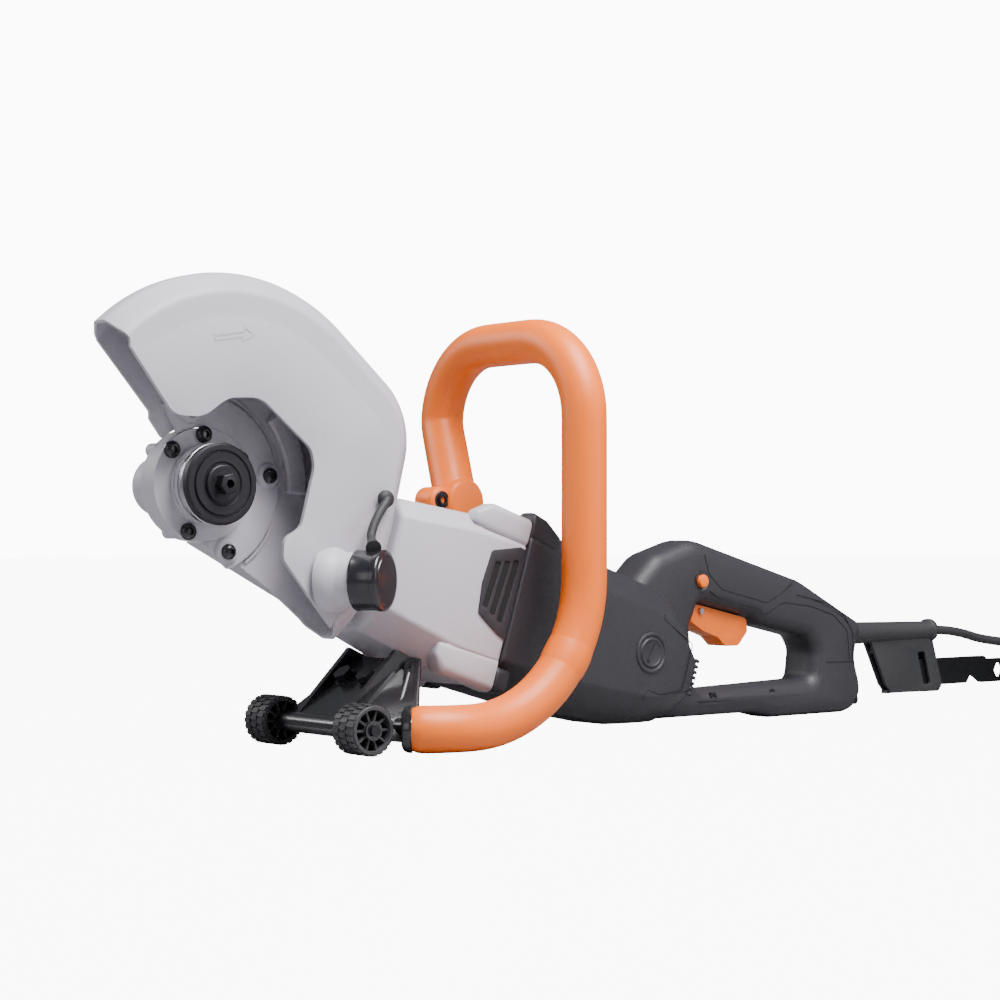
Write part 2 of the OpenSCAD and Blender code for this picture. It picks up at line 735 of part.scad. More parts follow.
module handle_screws() {
    y0 = body_y - handle_half_w + 1.5;
    color(dark_steel) for (p = handle_screw_xz) difference() {
        union() {
            y_rod(4, y0, y0 + 3.5, p.x, p.y);
            y_rod(1.85, y0 + 3, body_y + 11, p.x, p.y);
        }
        y_rod(1.6, y0 - 1, y0 + 1.5, p.x, p.y);
    }
}
trigger_pivot = [484, -97];
module trigger() {
    color(orange) difference() {
        side_plate(body_y - 9, body_y + 9) polygon(rounded([
            [475, -104, 2], [480, -92, 3], [537, -104, 3], [538, -115, 2], [529, -126, 5],
            [513, -126, 5], [505, -119, 8], [487, -113, 8]
        ]));
        y_rod(2.5 + run_gap, body_y - 12, body_y + 12, trigger_pivot.x, trigger_pivot.y);
    }
}
module trigger_pin() {
    color(steel) y_rod(2.5, body_y - 13, body_y + 13, trigger_pivot.x, trigger_pivot.y);
}
module lock_off_button() {
    color(orange) {
        y_rod(5.3, body_y - handle_half_w - 3.5, body_y - 14.4, 475, -72);
    }
}
module switch_block() {
    color(black) {
        side_plate(body_y - 11, body_y + 11) polygon([[490, -62], [545, -77], [542, -90], [488, -76]]);
    }
}
module soft_start_module() {
    color(black) motor_frame() translate([446, -16, -22]) cube([20, 32, 36]);
}

// Cord sleeve, spanner and cord ----------------------------------------------------------

sleeve_z = -121;
sleeve_end = 790;
spanner_t = 4;
module cord_sleeve() {
    color(black) difference() {
        union() {
            translate([656, body_y, sleeve_z]) rotate([0, 90, 0]) cylinder(r = 10, h = 22);
            translate([674, body_y, sleeve_z]) rotate([0, 90, 0])
                cylinder(r1 = 10, r2 = 8.2, h = sleeve_end - 674);
            translate([sleeve_end - 6, body_y, sleeve_z]) rotate([0, 90, 0]) cylinder(r = 10.5, h = 6);
            side_plate(body_y - 5, body_y + 5) polygon(rounded([
                [702, -127, 0], [786, -127, 0], [800, -176, 5], [730, -176, 8]
            ]));
        }
        translate([650, body_y, sleeve_z]) rotate([0, 90, 0]) cylinder(r = cord_d / 2 + 0.02, h = 200);
        translate([748, body_y - spanner_t / 2 - 0.3, -172.4]) cube([60, spanner_t + 0.6, 26.8]);
        side_plate(body_y - 6, body_y - spanner_t / 2)
            polygon([[767, -141], [776, -141], [784, -171], [775, -171]]);
    }
}
module cord_clamp() {
    color(black) translate([628, body_y - 11, -152]) difference() {
        cube([10, 22, 8]);
        translate([5, 4, -1]) cylinder(r = 1.6, h = 12);
        translate([5, 18, -1]) cylinder(r = 1.6, h = 12);
    }
}
spanner_x0 = 752;
spanner_x1 = 950;
module spanner() {
    color(dark_steel) side_plate(body_y - spanner_t / 2, body_y + spanner_t / 2) difference() {
        polygon(rounded([
            [spanner_x0, -147, 2], [866, -147, 3], [870, -150, 3], [spanner_x1 - 14, -150, 6],
            [spanner_x1, -160, 6], [spanner_x1 - 4, -172, 6], [862, -172, 2], [846, -163, 1],
            [840, -171.5, 1], [spanner_x0, -171.5, 2]
        ]));
        translate([888, -161]) circle(r = bolt_af / sqrt(3) + 0.1, $fn = 6);
        translate([932, -161]) circle(r = 4, $fn = 32);
    }
}

// The cord leaves the sleeve, sinks to the floor and runs into a coil beside the machine.
lead_z = floor_z + cord_d / 2;
plug_z = floor_z + 18.5;
cord_points = [
    [790, 38, -121], [806, 38, -121.5], [822, 38, -123], [840, 38, -126], [858, 38, -130],
    [878, 37.5, -133], [898, 36, -135.5], [918, 34, -140], [938, 31, -148], [958, 27, -159],
    [974, 23, -170], [988, 19.5, -179], [1002, 16, -184], [1016, 12.5, lead_z]
];
coil_x = 1016;
coil_y = 12.5 - coil_r - (coil_columns - 1) * cord_d / 2;
coil_out_r = coil_r + coil_columns * cord_d / 2;
// A point at radius r from the middle of the coil.
function coil_point(r, a, z) = [coil_x + r * cos(a), coil_y + r * sin(a), z];
tail_r = coil_out_r + cord_d / 2;
tail_points = [
    coil_point(tail_r - 7, -52, lead_z + 15), coil_point(tail_r - 4, -62, lead_z + 9),
    coil_point(tail_r - 1.5, -74, lead_z + 3), coil_point(tail_r, -90, lead_z),
    [1004, coil_y - tail_r, lead_z], [990, coil_y - tail_r + 0.5, lead_z + 1],
    [976, coil_y - tail_r + 1, lead_z + 4], [964, coil_y - tail_r + 1.5, lead_z + 9],
    [954, coil_y - tail_r + 2, plug_z]
];
// A tube along a list of points: a ring of corners is set square to the path at each one.
module swept_tube(p, r, sides) {
    last = len(p) - 1;
    rings = [for (i = [0:last])
        let (
            d = unit(p[min(i + 1, last)] - p[max(i - 1, 0)]),
            u = unit(cross([0, 0, 1], d)),
            v = cross(d, u)
        )
        for (k = [0:sides - 1]) p[i] + r * (cos(k * 360 / sides) * u + sin(k * 360 / sides) * v)];
    faces = concat(
        [[for (k = [0:sides - 1]) k]],
        [[for (k = [0:sides - 1]) (last + 1) * sides - 1 - k]],
        [for (i = [0:last - 1], k = [0:sides - 1])
            let (a = i * sides + k, b = i * sides + (k + 1) % sides)
            [a, a + sides, b + sides, b]]
    );
    polyhedron(rings, faces);
}
module cord() {
    color(black) swept_tube(cord_points, cord_d / 2, 12);
}
module cord_coil() {
    height = coil_layers * cord_d;
    color(black) translate([coil_x, coil_y, floor_z]) rotate_extrude() polygon(rounded([
        [coil_r - coil_columns * cord_d / 2, 0, cord_d / 2], [coil_out_r, 0, cord_d / 2],
        [coil_out_r, height, cord_d / 2], [coil_r - coil_columns * cord_d / 2, height, cord_d / 2]
    ]));
}
module cord_tail() {
    color(black) swept_tube(tail_points, cord_d / 2, 12);
}
plug_x = tail_points[8].x;
plug_y = tail_points[8].y;
plug_len = 49;
pin_r = 2.4;
pin_len = 19;
pin_offset = 9.5;
pin_root = 5;
pin_root_r = 2;
module plug() {
    color(black) translate([plug_x, plug_y, plug_z]) rotate([0, -90, 0]) difference() {
        union() {
            cylinder(r1 = 6.5, r2 = 10, h = 22);
            translate([0, 0, 21]) cylinder(r1 = 12, r2 = 18.5, h = 12);
            translate([0, 0, 33]) cylinder(r = 18.5, h = plug_len - 33);
        }
        for (k = [-1, 1]) translate([0, k * pin_offset, plug_len - pin_root]) cylinder(r = pin_root_r, h = 6);
    }
}
// Each pin is held in the plug by a thinner root.
module plug_pins() {
    color(steel) translate([plug_x, plug_y, plug_z]) rotate([0, -90, 0])
        for (k = [-1, 1]) translate([0, k * pin_offset, plug_len]) {
            cylinder(r = pin_r, h = pin_len);
            translate([0, 0, -pin_root]) cylinder(r = pin_root_r, h = pin_root + 1);
        }
}

// Loop handle ----------------------------------------------------------------------------

loop_x = 289;
loop_near_y = body_y - loop_w / 2;
loop_far_y = body_y + loop_w / 2;
sweep_r = 106;
sweep_z = floor_z + loop_d / 2 + 0.5 + sweep_r;
foot = [273, 86, -8];
tail_bend = 60;
tail_turn = 42;
tail_run = 3;
// Every stretch of the loop, drawn at radius r.
module loop_run(r) {
    straight_z = loop_top - loop_bend;
    translate([loop_x, loop_near_y + loop_bend, loop_top]) rotate([-90, 0, 0])
        cylinder(r = r, h = loop_w - 2 * loop_bend);
    translate([loop_x, loop_near_y + loop_bend, straight_z]) rotate([90, 0, -90])
        rotate_extrude(angle = 90) bend_end(r, loop_bend);
    translate([loop_x, loop_far_y - loop_bend, straight_z]) rotate([90, 0, 90])
        rotate_extrude(angle = 90) bend_end(r, loop_bend);
    translate([loop_x, loop_near_y, sweep_z]) cylinder(r = r, h = straight_z - sweep_z);
    translate([loop_x - sweep_r, loop_near_y, sweep_z]) rotate([-90, 0, 0])
        rotate_extrude(angle = 90) bend_end(r, sweep_r);
    translate([loop_x - sweep_r - tail_run, loop_near_y, sweep_z - sweep_r]) rotate([0, 90, 0])
        cylinder(r = r, h = tail_run);
    translate([loop_x - sweep_r - tail_run, loop_near_y + tail_bend, sweep_z - sweep_r])
        rotate([0, 0, -90 - tail_turn]) rotate_extrude(angle = tail_turn) bend_end(r, tail_bend);
    translate([loop_x, loop_far_y, straight_z]) sphere(r = r);
    rod_between([loop_x, loop_far_y, straight_z], foot, r);
}
module rod_between(p, q, r) {
    d = q - p;
    translate(p) rotate([0, acos(d.z / norm(d)), atan2(d.y, d.x)]) cylinder(r = r, h = norm(d));
}
// Takes away what lies below the tops of the lugs on the gearbox.
module above_lugs() {
    difference() {
        children();
        motor_frame() translate([0, 0, lug_top + 0.05 - 200]) cube([600, 400, 200]);
    }
}
module bend_end(r, bend) {
    translate([bend, 0]) circle(r = r);
}
core_r = 11;
module loop_handle() {
    color(orange) difference() {
        above_lugs() {
            loop_run(loop_d / 2);
            loop_foot();
        }
        loop_run(core_r + 0.05);
        y_rod(4.2, 60, 130, foot_screw.x, foot_screw.y);
    }
}
foot_screw = [250, -7];
foot_screw_y = [72, 98];
module loop_foot() {
    hull() {
        rod_between(foot + [0, 0, 14], foot - [0, 0, 10], loop_d / 2 + 1, $fn = 32);
        y_rod(9, foot_screw_y[0] + 4, foot_screw_y[1] - 2, foot_screw.x, foot_screw.y, $fn = 32);
    }
}
module loop_core() {
    color(steel) above_lugs() loop_run(core_r);
}
module loop_foot_screw() {
    color(dark_steel) difference() {
        y_rod(4.1, foot_screw_y[0], foot_screw_y[1] - 2, foot_screw.x, foot_screw.y);
        hex_head(5, foot_screw_y[0] - 1, foot_screw_y[0] + 4, foot_screw.x, foot_screw.y);
    }
}

// Rollers --------------------------------------------------------------------------------

roller_r = roller_d / 2;
roller_z = floor_z + roller_r;
near_roller_y = body_y - roller_track / 2;
far_roller_y = body_y + roller_track / 2;
spokes = 10;
module roller(y) {
    color(black) translate([roller_x, y, roller_z]) rotate([90, 0, 0]) difference() {
        union() {
            difference() {
                cylinder(r = roller_r, h = roller_w, center = true);
                cylinder(r = roller_r - 3, h = roller_w + 1, center = true);
            }
            cylinder(r = roller_r - 2.5, h = 3, center = true);
            cylinder(r = 7, h = roller_w - 3, center = true);
            for (i = [0:spokes - 1]) rotate([0, 0, i * 360 / spokes])
                translate([6, -0.8, -roller_w / 2 + 3]) cube([roller_r - 8, 1.6, roller_w - 6]);
        }
        cylinder(r = axle_r + 0.06, h = roller_w + 2, center = true);
    }
}
module roller_near() {
    roller(near_roller_y);
}
module roller_far() {
    roller(far_roller_y);
}
axle_out = roller_w / 2 + 3;
module roller_axle() {
    color(steel) y_rod(axle_r, near_roller_y - axle_out, far_roller_y + axle_out, roller_x, roller_z);
}
module axle_clips() {
    out = roller_w / 2 - 1.2;
    color(dark_steel) {
        y_tube(7, axle_r + 0.01, near_roller_y - out - 1.6, near_roller_y - out, roller_x, roller_z);
        y_tube(7, axle_r + 0.01, far_roller_y + out, far_roller_y + out + 1.6, roller_x, roller_z);
    }
}
// The bracket is a sloping plate between two cheeks, which carry the axle tube.
housing_low = [motor_xz(housing_s0, -60), motor_xz(222, -70)];
function under_housing(x) = housing_low[0].y - 0.05
    + (x - housing_low[0].x) * (housing_low[1].y - housing_low[0].y)
    / (housing_low[1].x - housing_low[0].x);
bracket_t = 4;
cheek_y = [body_y - 28.5, body_y + 28.5];
plate_low = [roller_x, roller_z + 5];
plate_high = [164, under_housing(164) - 3];
plate_slope = atan2(plate_high.y - plate_low.y, plate_high.x - plate_low.x);
bolt_run = 44;
bolt_y = [body_y - 14, body_y + 14];
loop_end = [loop_x - sweep_r - tail_run - tail_bend * sin(tail_turn),
            loop_near_y + tail_bend * (1 - cos(tail_turn)), sweep_z - sweep_r];
module plate_frame() {
    translate([plate_low.x, body_y, plate_low.y]) rotate([0, -plate_slope, 0]) children();
}
module roller_bracket() {
    color(black) difference() {
        union() {
            plate_frame() translate([0, 0, -bracket_t]) linear_extrude(bracket_t)
                polygon([[0, -42], [0, 42], [norm(plate_high - plate_low), 28.5],
                         [norm(plate_high - plate_low), -28.5]]);
            y_rod(axle_r + 3.5, near_roller_y + roller_w / 2 + 1, far_roller_y - roller_w / 2 - 1,
                roller_x, roller_z);
            for (y = cheek_y) side_plate(y - 2.5, y + 2.5) polygon([
                [roller_x, roller_z - 5], [roller_x, roller_z + 5], [156, under_housing(156)],
                [175, under_housing(175)], [174, under_housing(175) - 14], [146, roller_z + 8]
            ]);
            hull() {
                y_rod(6, cheek_y[0] - 8, cheek_y[0] - 2.4, screw_at.x + 1, screw_at.y - 4, $fn = 32);
                y_rod(8, loop_end.y + 12, loop_end.y + 20, loop_end.x - 2, loop_end.z, $fn = 32);
            }
            hull() {
                y_rod(8, loop_end.y + 12, loop_end.y + 20, loop_end.x - 2, loop_end.z, $fn = 32);
                translate(loop_end) rotate([0, 0, 90 - tail_turn]) rotate([90, 0, 0])
                    translate([0, 0, -1]) cylinder(r = 8, h = 1, $fn = 32);
            }
        }
        y_rod(axle_r + 0.05, near_roller_y, far_roller_y, roller_x, roller_z);
        plate_frame() for (y = bolt_y) translate([bolt_run, y - body_y, -20]) cylinder(r = 4, h = 30);
        for (y = cheek_y) {
            y_rod(3.05, y - 12, y + 12, screw_at.x, screw_at.y);
            y_rod(5.5, y - 12, y - 2.5, screw_at.x, screw_at.y);
        }
    }
}
module bracket_bolts() {
    color(steel) plate_frame() for (y = bolt_y) translate([bolt_run, y - body_y, 0]) {
        cylinder(r = 8.5, h = 1.4);
        cylinder(r = 13 / sqrt(3), h = 7, $fn = 6);
        translate([0, 0, -14]) cylinder(r = 3.9, h = 15);
        translate([0, 0, -bracket_t - 6.5]) cylinder(r = 13 / sqrt(3), h = 6.5, $fn = 6);
    }
}
screw_at = [166, under_housing(166) - 8];
module bracket_screws() {
    color(dark_steel) for (y = cheek_y) difference() {
        union() {
            y_rod(3, y - 2.5, y + 2.5, screw_at.x, screw_at.y);
            y_rod(5.2, y - 5.5, y - 2.5, screw_at.x, screw_at.y);
        }
        hex_head(2, y - 6, y - 3.5, screw_at.x, screw_at.y);
    }
}

outer_flange();
inner_flange();
flange_washer();
disc_bolt();
spindle_shaft();
crown_gear();
guard_shell();
guard_collar();
guard_screws();
dust_port();
dust_cap();
cap_strap();
gear_case();
gear_case_cover();
cover_screws();
spindle_bearings();
spindle_lock_button();
fan_housing();
vent_grilles();
housing_screws();
motor_housing();
motor_bearings();
stator_core();
field_coils();
brush_holders();
carbon_brushes();
brush_springs();
brush_caps();
armature_shaft();
pinion();
armature_core();
armature_windings();
commutator();
cooling_fan();
handle_shell_near();
handle_shell_far();
handle_screws();
trigger();
trigger_pin();
lock_off_button();
switch_block();
soft_start_module();
cord_sleeve();
cord_clamp();
spanner();
loop_handle();
loop_core();
loop_foot_screw();
roller_bracket();
bracket_bolts();
bracket_screws();
roller_axle();
roller_near();
roller_far();
axle_clips();
cord();
cord_coil();
cord_tail();
plug();
plug_pins();
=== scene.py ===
"""Looks of the wall chaser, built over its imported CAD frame.

Sizes are in millimetres until a mesh is made.
"""

import logging
import math
from dataclasses import dataclass, field
from enum import Enum

import bmesh
import bpy
from mathutils import Matrix, Vector


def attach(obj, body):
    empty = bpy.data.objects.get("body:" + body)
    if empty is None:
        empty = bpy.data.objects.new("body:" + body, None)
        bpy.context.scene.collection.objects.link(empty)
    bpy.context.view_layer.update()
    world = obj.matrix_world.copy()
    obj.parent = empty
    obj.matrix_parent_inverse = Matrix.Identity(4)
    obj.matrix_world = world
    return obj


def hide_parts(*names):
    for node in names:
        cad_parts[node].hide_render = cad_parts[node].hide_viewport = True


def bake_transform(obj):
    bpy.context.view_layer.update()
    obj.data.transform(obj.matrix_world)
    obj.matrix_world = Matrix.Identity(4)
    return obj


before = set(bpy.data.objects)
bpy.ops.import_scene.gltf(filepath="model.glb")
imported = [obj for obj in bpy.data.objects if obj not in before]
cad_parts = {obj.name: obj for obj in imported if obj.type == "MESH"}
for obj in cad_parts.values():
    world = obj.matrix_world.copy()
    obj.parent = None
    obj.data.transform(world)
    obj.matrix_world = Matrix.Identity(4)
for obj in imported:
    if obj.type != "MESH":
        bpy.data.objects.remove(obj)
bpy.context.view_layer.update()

LOG = logging.getLogger("wall_chaser")
MM = 0.001
TILT = math.radians(17.8)
BODY_Y = 38.0
FLOOR_Z = -189.5
ROLLER_OFFSET = 56.4

Point2 = tuple[float, float]
Point3 = tuple[float, float, float]


class Part(str, Enum):
    """CAD bodies that the pieces ride on."""

    MACHINE = "machine"
    SPINDLE = "spindle"
    GUARD = "guard"
    CAP = "dust_cap"
    TRIGGER = "trigger"
    LOCK_OFF = "lock_off"
    NEAR_ROLLER = "roller_near"
    FAR_ROLLER = "roller_far"
    SPANNER = "spanner"


class Grain(Enum):
    """Kinds of fine surface relief."""

    CAST = "cast"
    ERODED = "eroded"
    SMOOTH = "smooth"
    TURNED = "turned"


# Finishes -------------------------------------------------------------------------------


def linear(code: str) -> tuple[float, float, float, float]:
    """Turns an sRGB hex code into linear RGBA.

    Args:
        code: six hex digits after a hash sign.

    Returns:
        The colour that a shader socket takes.
    """
    parts = [int(code[i : i + 2], 16) / 255 for i in (1, 3, 5)]
    r, g, b = (
        c / 12.92 if c <= 0.04045 else ((c + 0.055) / 1.055) ** 2.4 for c in parts
    )
    return (r, g, b, 1.0)


def add_node(tree: bpy.types.NodeTree, kind: str, values: dict | None = None, **settings):
    """Adds a shader node, sets its properties and fills or links its inputs.

    Args:
        tree: the node tree.
        kind: the node's type name.
        values: input name or number to a constant or to the socket that feeds it.
        settings: properties of the node.

    Returns:
        The new node.
    """
    node = tree.nodes.new(kind)
    for name, value in settings.items():
        setattr(node, name, value)
    for name, value in (values or {}).items():
        if isinstance(value, bpy.types.NodeSocket):
            tree.links.new(value, node.inputs[name])
        else:
            node.inputs[name].default_value = value
    return node


@dataclass(frozen=True)
class Finish:
    """A finish: its colour, gloss and fine relief."""

    name: str
    colour: str
    shade: str
    roughness: float
    spread: float = 0.06
    metallic: float = 0.0
    coat: float = 0.0
    grain: Grain = Grain.SMOOTH
    grain_mm: float = 0.6
    relief: float = 0.15
    centre: Point3 = (0.0, 0.0, 0.0)
    lines: tuple[float, ...] = ()
    slot: str = ""

    def material(self) -> bpy.types.Material:
        """Builds the material once, then returns it each time.

        Returns:
            The node material of this finish.
        """
        found = bpy.data.materials.get(self.name)
        if found:
            return found
        made = bpy.data.materials.new(self.name)
        made.use_nodes = True
        tree = made.node_tree
        tree.nodes.clear()
        coords = add_node(tree, "ShaderNodeTexCoord")
        placed = add_node(
            tree,
            "ShaderNodeMapping",
            {"Vector": coords.outputs["Object"], "Location": [-c * MM for c in self.centre]},
        ).outputs["Vector"]
        clouds = add_node(
            tree,
            "ShaderNodeTexNoise",
            {"Vector": placed, "Scale": 1000 / 38, "Detail": 5.0, "Roughness": 0.6},
        ).outputs["Fac"]
        colour = add_node(
            tree,
            "ShaderNodeMix",
            {0: clouds, 6: linear(self.colour), 7: linear(self.shade)},
            data_type="RGBA",
        ).outputs[2]
        rough = add_node(
            tree,
            "ShaderNodeMapRange",
            {
                "Value": clouds,
                "To Min": self.roughness - self.spread,
                "To Max": self.roughness + self.spread,
            },
        ).outputs["Result"]
        shader = add_node(
            tree,
            "ShaderNodeBsdfPrincipled",
            {
                "Base Color": colour,
                "Roughness": rough,
                "Metallic": self.metallic,
                "Coat Weight": self.coat,
                "Coat Roughness": 0.08,
                "Normal": self.relief_normal(tree, placed),
            },
        )
        add_node(
            tree, "ShaderNodeOutputMaterial", {"Surface": shader.outputs["BSDF"]}
        )
        return made

    def relief_normal(self, tree: bpy.types.NodeTree, placed: bpy.types.NodeSocket):
        """Adds the fine relief of the surface.

        Args:
            tree: the node tree.
            placed: the socket with coordinates from the piece's centre.

        Returns:
            The socket of the bumped normal.
        """
        height = add_node(
            tree,
            "ShaderNodeTexNoise",
            {"Vector": placed, "Scale": 1000 / self.grain_mm, "Detail": 3.0},
        ).outputs["Fac"]
        if self.grain is Grain.CAST:
            waves = add_node(
                tree,
                "ShaderNodeTexNoise",
                {"Vector": placed, "Scale": 1000 / 9, "Detail": 2.0},
            ).outputs["Fac"]
            height = add_node(
                tree,
                "ShaderNodeMath",
                {0: waves, 1: 1.6, 2: height},
                operation="MULTIPLY_ADD",
            ).outputs[0]
        elif self.grain is Grain.ERODED:
            cells = add_node(
                tree,
                "ShaderNodeTexVoronoi",
                {"Vector": placed, "Scale": 1000 / (self.grain_mm * 1.6)},
            ).outputs["Distance"]
            height = add_node(
                tree, "ShaderNodeMath", {0: cells, 1: height}, operation="ADD"
            ).outputs[0]
        elif self.grain is Grain.TURNED:
            rings = add_node(
                tree,
                "ShaderNodeTexWave",
                {"Vector": placed, "Scale": 1000 / 14, "Distortion": 0.4, "Detail": 2.0},
                wave_type="RINGS",
                rings_direction="Y",
            ).outputs["Fac"]
            height = add_node(
                tree,
                "ShaderNodeMath",
                {0: rings, 1: 0.6, 2: height},
                operation="MULTIPLY_ADD",
            ).outputs[0]
        bump = add_node(
            tree,
            "ShaderNodeBump",
            {"Height": height, "Strength": self.relief, "Distance": self.grain_mm * MM},
        ).outputs["Normal"]
        if not self.lines:
            return bump
        return self.parting_lines(tree, bump)

    def parting_lines(self, tree: bpy.types.NodeTree, bump: bpy.types.NodeSocket):
        """Adds fine grooves along a tube, each at a share of the way round it.

        Args:
            tree: the node tree.
            bump: the socket of the normal so far.

        Returns:
            The socket of the normal with the grooves.
        """
        around = add_node(
            tree,
            "ShaderNodeSeparateXYZ",
            {0: add_node(tree, "ShaderNodeUVMap").outputs["UV"]},
        ).outputs["Y"]
        total = None
        for share in self.lines:
            off = add_node(
                tree, "ShaderNodeMath", {0: around, 1: share}, operation="SUBTRACT"
            ).outputs[0]
            near = add_node(
                tree, "ShaderNodeMath", {0: off, 1: 0.0, 2: 0.006}, operation="COMPARE"
            ).outputs[0]
            total = near if total is None else add_node(
                tree, "ShaderNodeMath", {0: total, 1: near}, operation="MAXIMUM"
            ).outputs[0]
        height = add_node(
            tree, "ShaderNodeMath", {0: 1.0, 1: total}, operation="SUBTRACT"
        ).outputs[0]
        return add_node(
            tree,
            "ShaderNodeBump",
            {"Height": height, "Strength": 0.5, "Distance": 0.5 * MM, "Normal": bump},
        ).outputs["Normal"]


# Die-cast aluminium under a satin warm grey powder coat: soft highlights, faint orange peel.
POWDER_COAT = Finish(
    "Powder-coated cast aluminium", "#BDB9C2", "#B5B2BA", 0.46, grain=Grain.CAST,
    grain_mm=0.7, relief=0.22, slot="cast_grey",
)
# Injection-moulded orange polymer: satin, with a fine spark-eroded grain.
ORANGE = Finish(
    "Orange moulded polymer", "#FF7600", "#FA6E00", 0.44, grain=Grain.ERODED,
    grain_mm=0.5, relief=0.10, slot="orange_plastic",
)
# The same polymer on the loop, with the parting lines of its grip panel.
ORANGE_LOOP = Finish(
    "Orange overmoulded grip", "#FF7600", "#FA6E00", 0.44, grain=Grain.ERODED,
    grain_mm=0.5, relief=0.10, lines=(0.13, 0.37, 0.63, 0.87), slot="orange_plastic",
)
# Glass-filled nylon from a textured mould: dark grey, matt.
BLACK_NYLON = Finish(
    "Black textured nylon", "#2B2A30", "#26252A", 0.52, grain=Grain.ERODED,
    grain_mm=0.55, relief=0.22, slot="black_plastic",
)
# Smooth polished moulding with sharp reflections.
GLOSS_BLACK = Finish(
    "Gloss black polymer", "#1F1F24", "#1A1A1F", 0.24, spread=0.04, coat=0.3,
    relief=0.03, slot="gloss_black",
)
# Steel pressing under a thick gloss black paint.
BLACK_PAINT = Finish(
    "Gloss black painted steel", "#1C1C1F", "#17171A", 0.26, spread=0.06, coat=0.4,
    grain_mm=3.0, relief=0.05, slot="black_paint",
)
# Turned steel, blackened: dull rings on the faces.
DARK_STEEL = Finish(
    "Blackened turned steel", "#3F3E42", "#353438", 0.5, metallic=1.0,
    grain=Grain.TURNED, grain_mm=0.4, relief=0.25, slot="dark_steel",
)
# Turned and ground steel with fine rings.
BRIGHT_STEEL = Finish(
    "Turned bright steel", "#B9B8BC", "#A9A8AC", 0.28, metallic=1.0,
    grain=Grain.TURNED, grain_mm=0.3, relief=0.16, slot="bright_steel",
)
# Laminated steel of the motor cores.
LAMINATED = Finish(
    "Stacked electrical steel", "#8A8A8E", "#7A7A7E", 0.4, metallic=1.0,
    grain_mm=0.5, relief=0.2, slot="bright_steel",
)
# Hardened spanner steel with a dark oil finish.
SPANNER_STEEL = Finish(
    "Oiled spanner steel", "#3B3B3E", "#323235", 0.38, metallic=1.0,
    grain_mm=0.6, relief=0.12, slot="dark_steel",
)
# Soft moulded rubber, matt.
RUBBER = Finish(
    "Matt moulded rubber", "#2B2B2E", "#262629", 0.6, grain_mm=0.5, relief=0.12,
    slot="soft_rubber",
)
# Hard rubber of the rollers, a little greyer from its texture.
ROLLER_RUBBER = Finish(
    "Hard roller rubber", "#3A3A3C", "#333335", 0.55, grain=Grain.ERODED,
    grain_mm=0.6, relief=0.2, slot="soft_rubber",
)
# Enamelled copper wire.
COPPER = Finish(
    "Enamelled copper wire", "#B5703C", "#A5622F", 0.35, metallic=1.0, grain_mm=0.8,
    relief=0.2, slot="copper",
)
# Pressed brass sheet.
BRASS = Finish(
    "Pressed brass", "#C9A85A", "#B8964A", 0.32, metallic=1.0, grain_mm=0.6,
    relief=0.06, slot="brass",
)
# Pressed graphite brushes.
CARBON = Finish(
    "Pressed graphite", "#2F2D2D", "#272626", 0.55, metallic=0.0, grain_mm=0.3,
    relief=0.2, slot="carbon",
)

CAD_FINISHES: dict[str, Finish] = {
    "inner_flange": BRIGHT_STEEL,
    "spindle_shaft": BRIGHT_STEEL,
    "crown_gear": DARK_STEEL,
    "guard_collar": POWDER_COAT,
    "gear_case": POWDER_COAT,
    "gear_case_cover": POWDER_COAT,
    "guard_screws": GLOSS_BLACK,
    "spindle_bearings": BRIGHT_STEEL,
    "spindle_lock_button": BLACK_NYLON,
    "trigger_pin": BRIGHT_STEEL,
    "housing_screws": DARK_STEEL,
    "motor_bearings": BRIGHT_STEEL,
    "stator_core": LAMINATED,
    "field_coils": COPPER,
    "brush_holders": BRASS,
    "carbon_brushes": CARBON,
    "brush_springs": BRIGHT_STEEL,
    "armature_shaft": BRIGHT_STEEL,
    "pinion": DARK_STEEL,
    "armature_core": LAMINATED,
    "armature_windings": COPPER,
    "commutator": COPPER,
    "cooling_fan": BLACK_NYLON,
    "handle_screws": DARK_STEEL,
    "switch_block": BLACK_NYLON,
    "soft_start_module": BLACK_NYLON,
    "cord_clamp": BLACK_NYLON,
    "loop_core": BRIGHT_STEEL,
    "loop_foot_screw": DARK_STEEL,
    "roller_bracket": BLACK_PAINT,
    "bracket_bolts": DARK_STEEL,
    "bracket_screws": DARK_STEEL,
    "roller_axle": DARK_STEEL,
    "axle_clips": GLOSS_BLACK,
    "plug_pins": BRASS,
    "spanner": SPANNER_STEEL,
    "trigger": ORANGE,
    "lock_off_button": ORANGE,
    "flange_washer": DARK_STEEL,
    "disc_bolt": DARK_STEEL,
    "outer_flange": DARK_STEEL,
}

# Outlines -------------------------------------------------------------------------------


def motor_point(s: float, y: float, t: float) -> Point3:
    """A point from the motor's own axes: s along the axis, t square to it, y across."""
    return (
        s * math.cos(TILT) + t * math.sin(TILT),
        BODY_Y + y,
        t * math.cos(TILT) - s * math.sin(TILT),
    )


def arc(centre: Point2, radius: float, a0: float, a1: float, n: int) -> list[Point2]:
    """Points on an arc, from angle a0 to a1 in degrees, in n steps."""
    turns = [math.radians(a0 + (a1 - a0) * i / n) for i in range(n + 1)]
    return [(centre[0] + radius * math.cos(a), centre[1] + radius * math.sin(a)) for a in turns]


